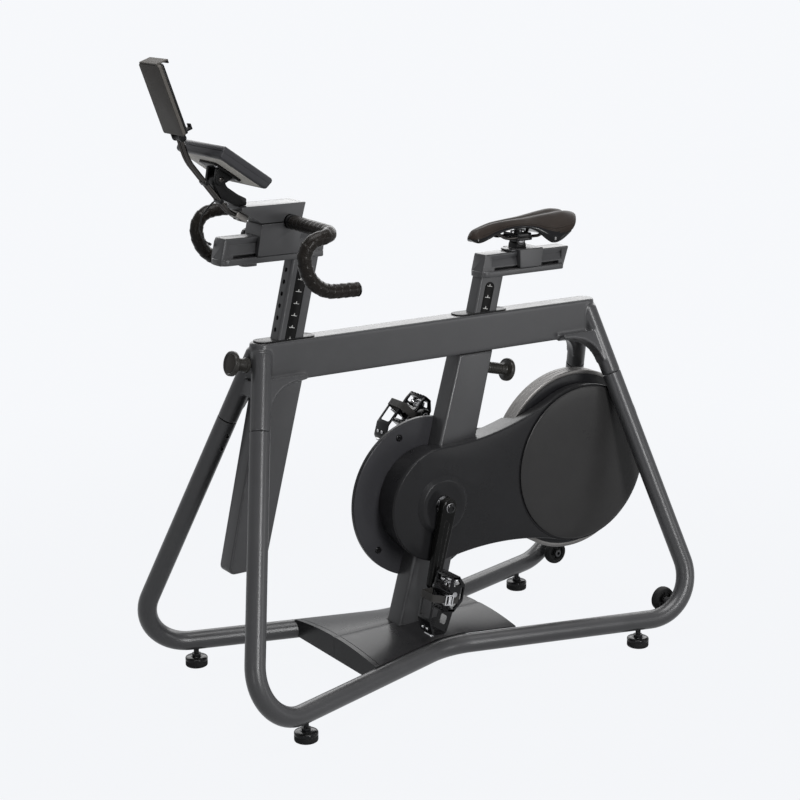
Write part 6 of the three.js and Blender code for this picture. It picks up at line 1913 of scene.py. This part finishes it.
merged(lower, yTurned(evenProfile(drumHalf), 48, tiltX, 0, tiltZ))
addPiece("clamp_jaws", lower, "saddle_body", "black_plastic", "gloss_black", "saddle_clamp")
bolts = None
for x in (-252.0, -224.0):
    bolts = rod((x, 0, 932), (x, 0, 950.5), 3.0, 20, 0.4, bolts)
    roundBolt((x, 0, 946.8), (0, 0, 1), 5.4, 4.6, bolts)
for side in (-1, 1):
    roundBolt((tiltX, side * 14.8, tiltZ), (0, side, 0), 7.4, 2.4, bolts)
addPiece("clamp_bolts", bolts, "saddle_body", "black_plastic", "steel")
print("carriage and clamp made")

# saddle: a crowned pad with a pressure channel, over a gloss black skirt that also paints the lower flank's
# shade, with a piped edge and two seams
saddle = dict(nose=-105.0, tail=-381.0, top=988.0, rings=96, around=44, notch=9.0, sweepBack=50.0)
saddleStations = [  # share of the length, half width, top, edge, channel depth
    (0.0, 16, -36, -50, 0), (0.03, 18.5, -30, -54, 0), (0.1, 20.5, -23, -52, 0.3),
    (0.22, 23, -15, -39, 1.2), (0.38, 28, -11, -29, 2.2),
    (0.52, 41, -9, -31, 3.2), (0.66, 58, -5, -52, 4.4), (0.76, 69, -2.4, -61, 5.2),
    (0.87, 72, 0, -56, 5.6), (0.96, 65, -3, -42, 5.2), (1.0, 50, -8, -32, 4),
]


def between(stations, share):  # a smooth reading between stations
    for index in range(len(stations) - 1):
        if share <= stations[index + 1][0]:
            break
    p1, p2 = stations[index], stations[index + 1]
    p0, p3 = stations[max(0, index - 1)], stations[min(len(stations) - 1, index + 2)]
    t = (share - p1[0]) / (p2[0] - p1[0])
    values = []
    for k in range(1, len(p1)):
        m1 = (p2[k] - p0[k]) / max(1e-6, p2[0] - p0[0]) * (p2[0] - p1[0])
        m2 = (p3[k] - p1[k]) / max(1e-6, p3[0] - p1[0]) * (p2[0] - p1[0])
        h00, h10 = 2 * t ** 3 - 3 * t ** 2 + 1, t ** 3 - 2 * t ** 2 + t
        h01, h11 = -2 * t ** 3 + 3 * t ** 2, t ** 3 - t ** 2
        values.append(h00 * p1[k] + h10 * m1 + h01 * p2[k] + h11 * m2)
    return values


def smoothLine(points, count):  # the points of a curve through a row of section points
    line = []
    for k in range(count + 1):
        u = k / count * (len(points) - 1)
        i = min(int(u), len(points) - 2)
        t = u - i
        p0, p1, p2, p3 = points[max(0, i - 1)], points[i], points[i + 1], points[min(len(points) - 1, i + 2)]
        line.append(tuple(
            0.5 * (
                2 * b + (c - a) * t + (2 * a - 5 * b + 4 * c - d) * t * t + (3 * b - a - 3 * c + d) * t ** 3
            )
            for a, b, c, d in zip(p0, p1, p2, p3)
        ))
    return line


def saddleSection(share):  # one side of a section, from the top's middle to the middle underneath
    half, top, edge, channel = between(saddleStations, share)
    fall = (top - edge) * 0.72
    hollow = min(1.0, max(0.0, (share - 0.07) / 0.15))
    under = edge + (min(top - fall, edge + 16) - 4 - edge) * hollow
    side = [
        (0.0, top - channel), (0.09, top - channel * 0.85), (0.17, top - channel * 0.35),
        (0.26, top - 0.2), (0.36, top - 0.4),
        (0.48, top - fall * 0.07), (0.6, top - fall * 0.19), (0.72, top - fall * 0.36),
        (0.83, top - fall * 0.56),
        (0.92, top - fall * 0.77), (0.98, top - fall), (1.0, edge + (top - edge) * 0.15),
        (0.975, edge + 1.6), (0.91, edge),
        (0.84, edge + 2.6 * hollow), (0.64, edge + 8 * hollow), (0.36, under), (0.0, under + 1),
    ]
    return [(s * half, drop) for s, drop in smoothLine(side, saddle["around"])]


def saddleRings():
    spots = []
    length = saddle["tail"] - saddle["nose"]
    for k in range(saddle["rings"] + 1):
        share = k / saddle["rings"]
        squeeze, centre = 1.0, 0.0
        for reach, distance, middleDrop in (  # the nose and the tail close in to a soft end
            (16.0, share * abs(length), -44.0), (7.0, (1 - share) * abs(length), -20.0),
        ):
            if distance < reach:
                squeeze, centre = math.sqrt(max(0.1, 1 - (1 - distance / reach) ** 2)), middleDrop
        right = []
        for y, drop in saddleSection(share):
            drop = centre + (drop - centre) * squeeze
            tailShare = max(0.0, (share - 0.82) / 0.18) ** 2
            notch = saddle["notch"] * max(0.0, 1 - abs(y) / 26.0) ** 2 * tailShare
            behind = min(1.0, max(0.0, (share - 0.55) / 0.4))
            sweepBack = saddle["sweepBack"] * max(0.0, (-drop - 8) / 50) * behind
            x = saddle["nose"] + length * share + notch + sweepBack
            right.append(Vector((x, y * squeeze, saddle["top"] + drop)))
        left = [Vector((p.x, -p.y, p.z)) for p in right[-2:0:-1]]
        spots.append(right + left)
    return spots


ringsMade = saddleRings()
saddlePad = addPiece(
    "saddle_pad", rings(ringsMade), "saddle_body", "saddle_cover", node="saddle", smooth=70,
)
saddlePad.data.materials.append(finishes["gloss_black"])
for face in saddlePad.data.polygons:  # the flanks below the padding are a moulded skirt in gloss black, whose darkness also paints the shade of the lower flank
    x, z = (face.center.x - crankX) / mm, face.center.z / mm - saddle["top"]
    share = min(1.0, max(0.0, (x - saddle["nose"]) / (saddle["tail"] - saddle["nose"])))
    _, top, edge, _ = between(saddleStations, share)
    if z < edge + (top - edge) * 0.36:
        face.material_index = 1


def lowestOuter(ring):  # the point of a ring's right side that stands at its lower outer edge
    right = ring[: saddle["around"] + 1]
    return max(right, key=lambda p: p.y - (p.z - saddle["top"]) * 0.55)


piping = [lowestOuter(ring) for ring in ringsMade[14:-4]]
welt = None
for side in (-1, 1):
    line = [Vector((p.x, side * p.y, p.z)) for p in piping]
    welt = sweep(line, 1.3, 12, bm=welt)
addPiece("saddle_edge", welt, "saddle_body", "saddle_cover", "black_plastic", smooth=60)
seamLines = None
for side in (-1, 1):
    line = []
    for ring in ringsMade[8:-8]:
        p = ring[round(saddle["around"] * 0.5)]
        line.append(Vector((p.x, side * (p.y + 0.1), p.z)))
    seamLines = sweep(line, 0.8, 8, bm=seamLines)
addPiece("saddle_seams", seamLines, "saddle_body", "saddle_cover", smooth=60)
print("saddle made")
# the nodes that no piece replaces keep their shape, with eased edges
def dressedCopy(node, slot):
    bm = bmesh.new()
    bm.from_mesh(frame["nodes"][node].data)
    bmesh.ops.remove_doubles(bm, verts=bm.verts, dist=weld["solid"])
    bmesh.ops.dissolve_limit(bm, angle_limit=math.radians(0.6), verts=bm.verts, edges=bm.edges)
    body = frame["nodes"][node]["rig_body"]
    addPiece(node + "_shell", bm, body, slot, node=node, smooth=32.0, bevel=0.6, place=None)


for node, slot in {
    "base_bridge": "frame_paint", "bottom_bracket": "steel", "left_drive_arm": "steel",
    "right_drive_arm": "steel", "brake_magnet": "black_plastic", "drive_belt": "belt_rubber",
}.items():
    dressedCopy(node, slot)
print("other pieces dressed")
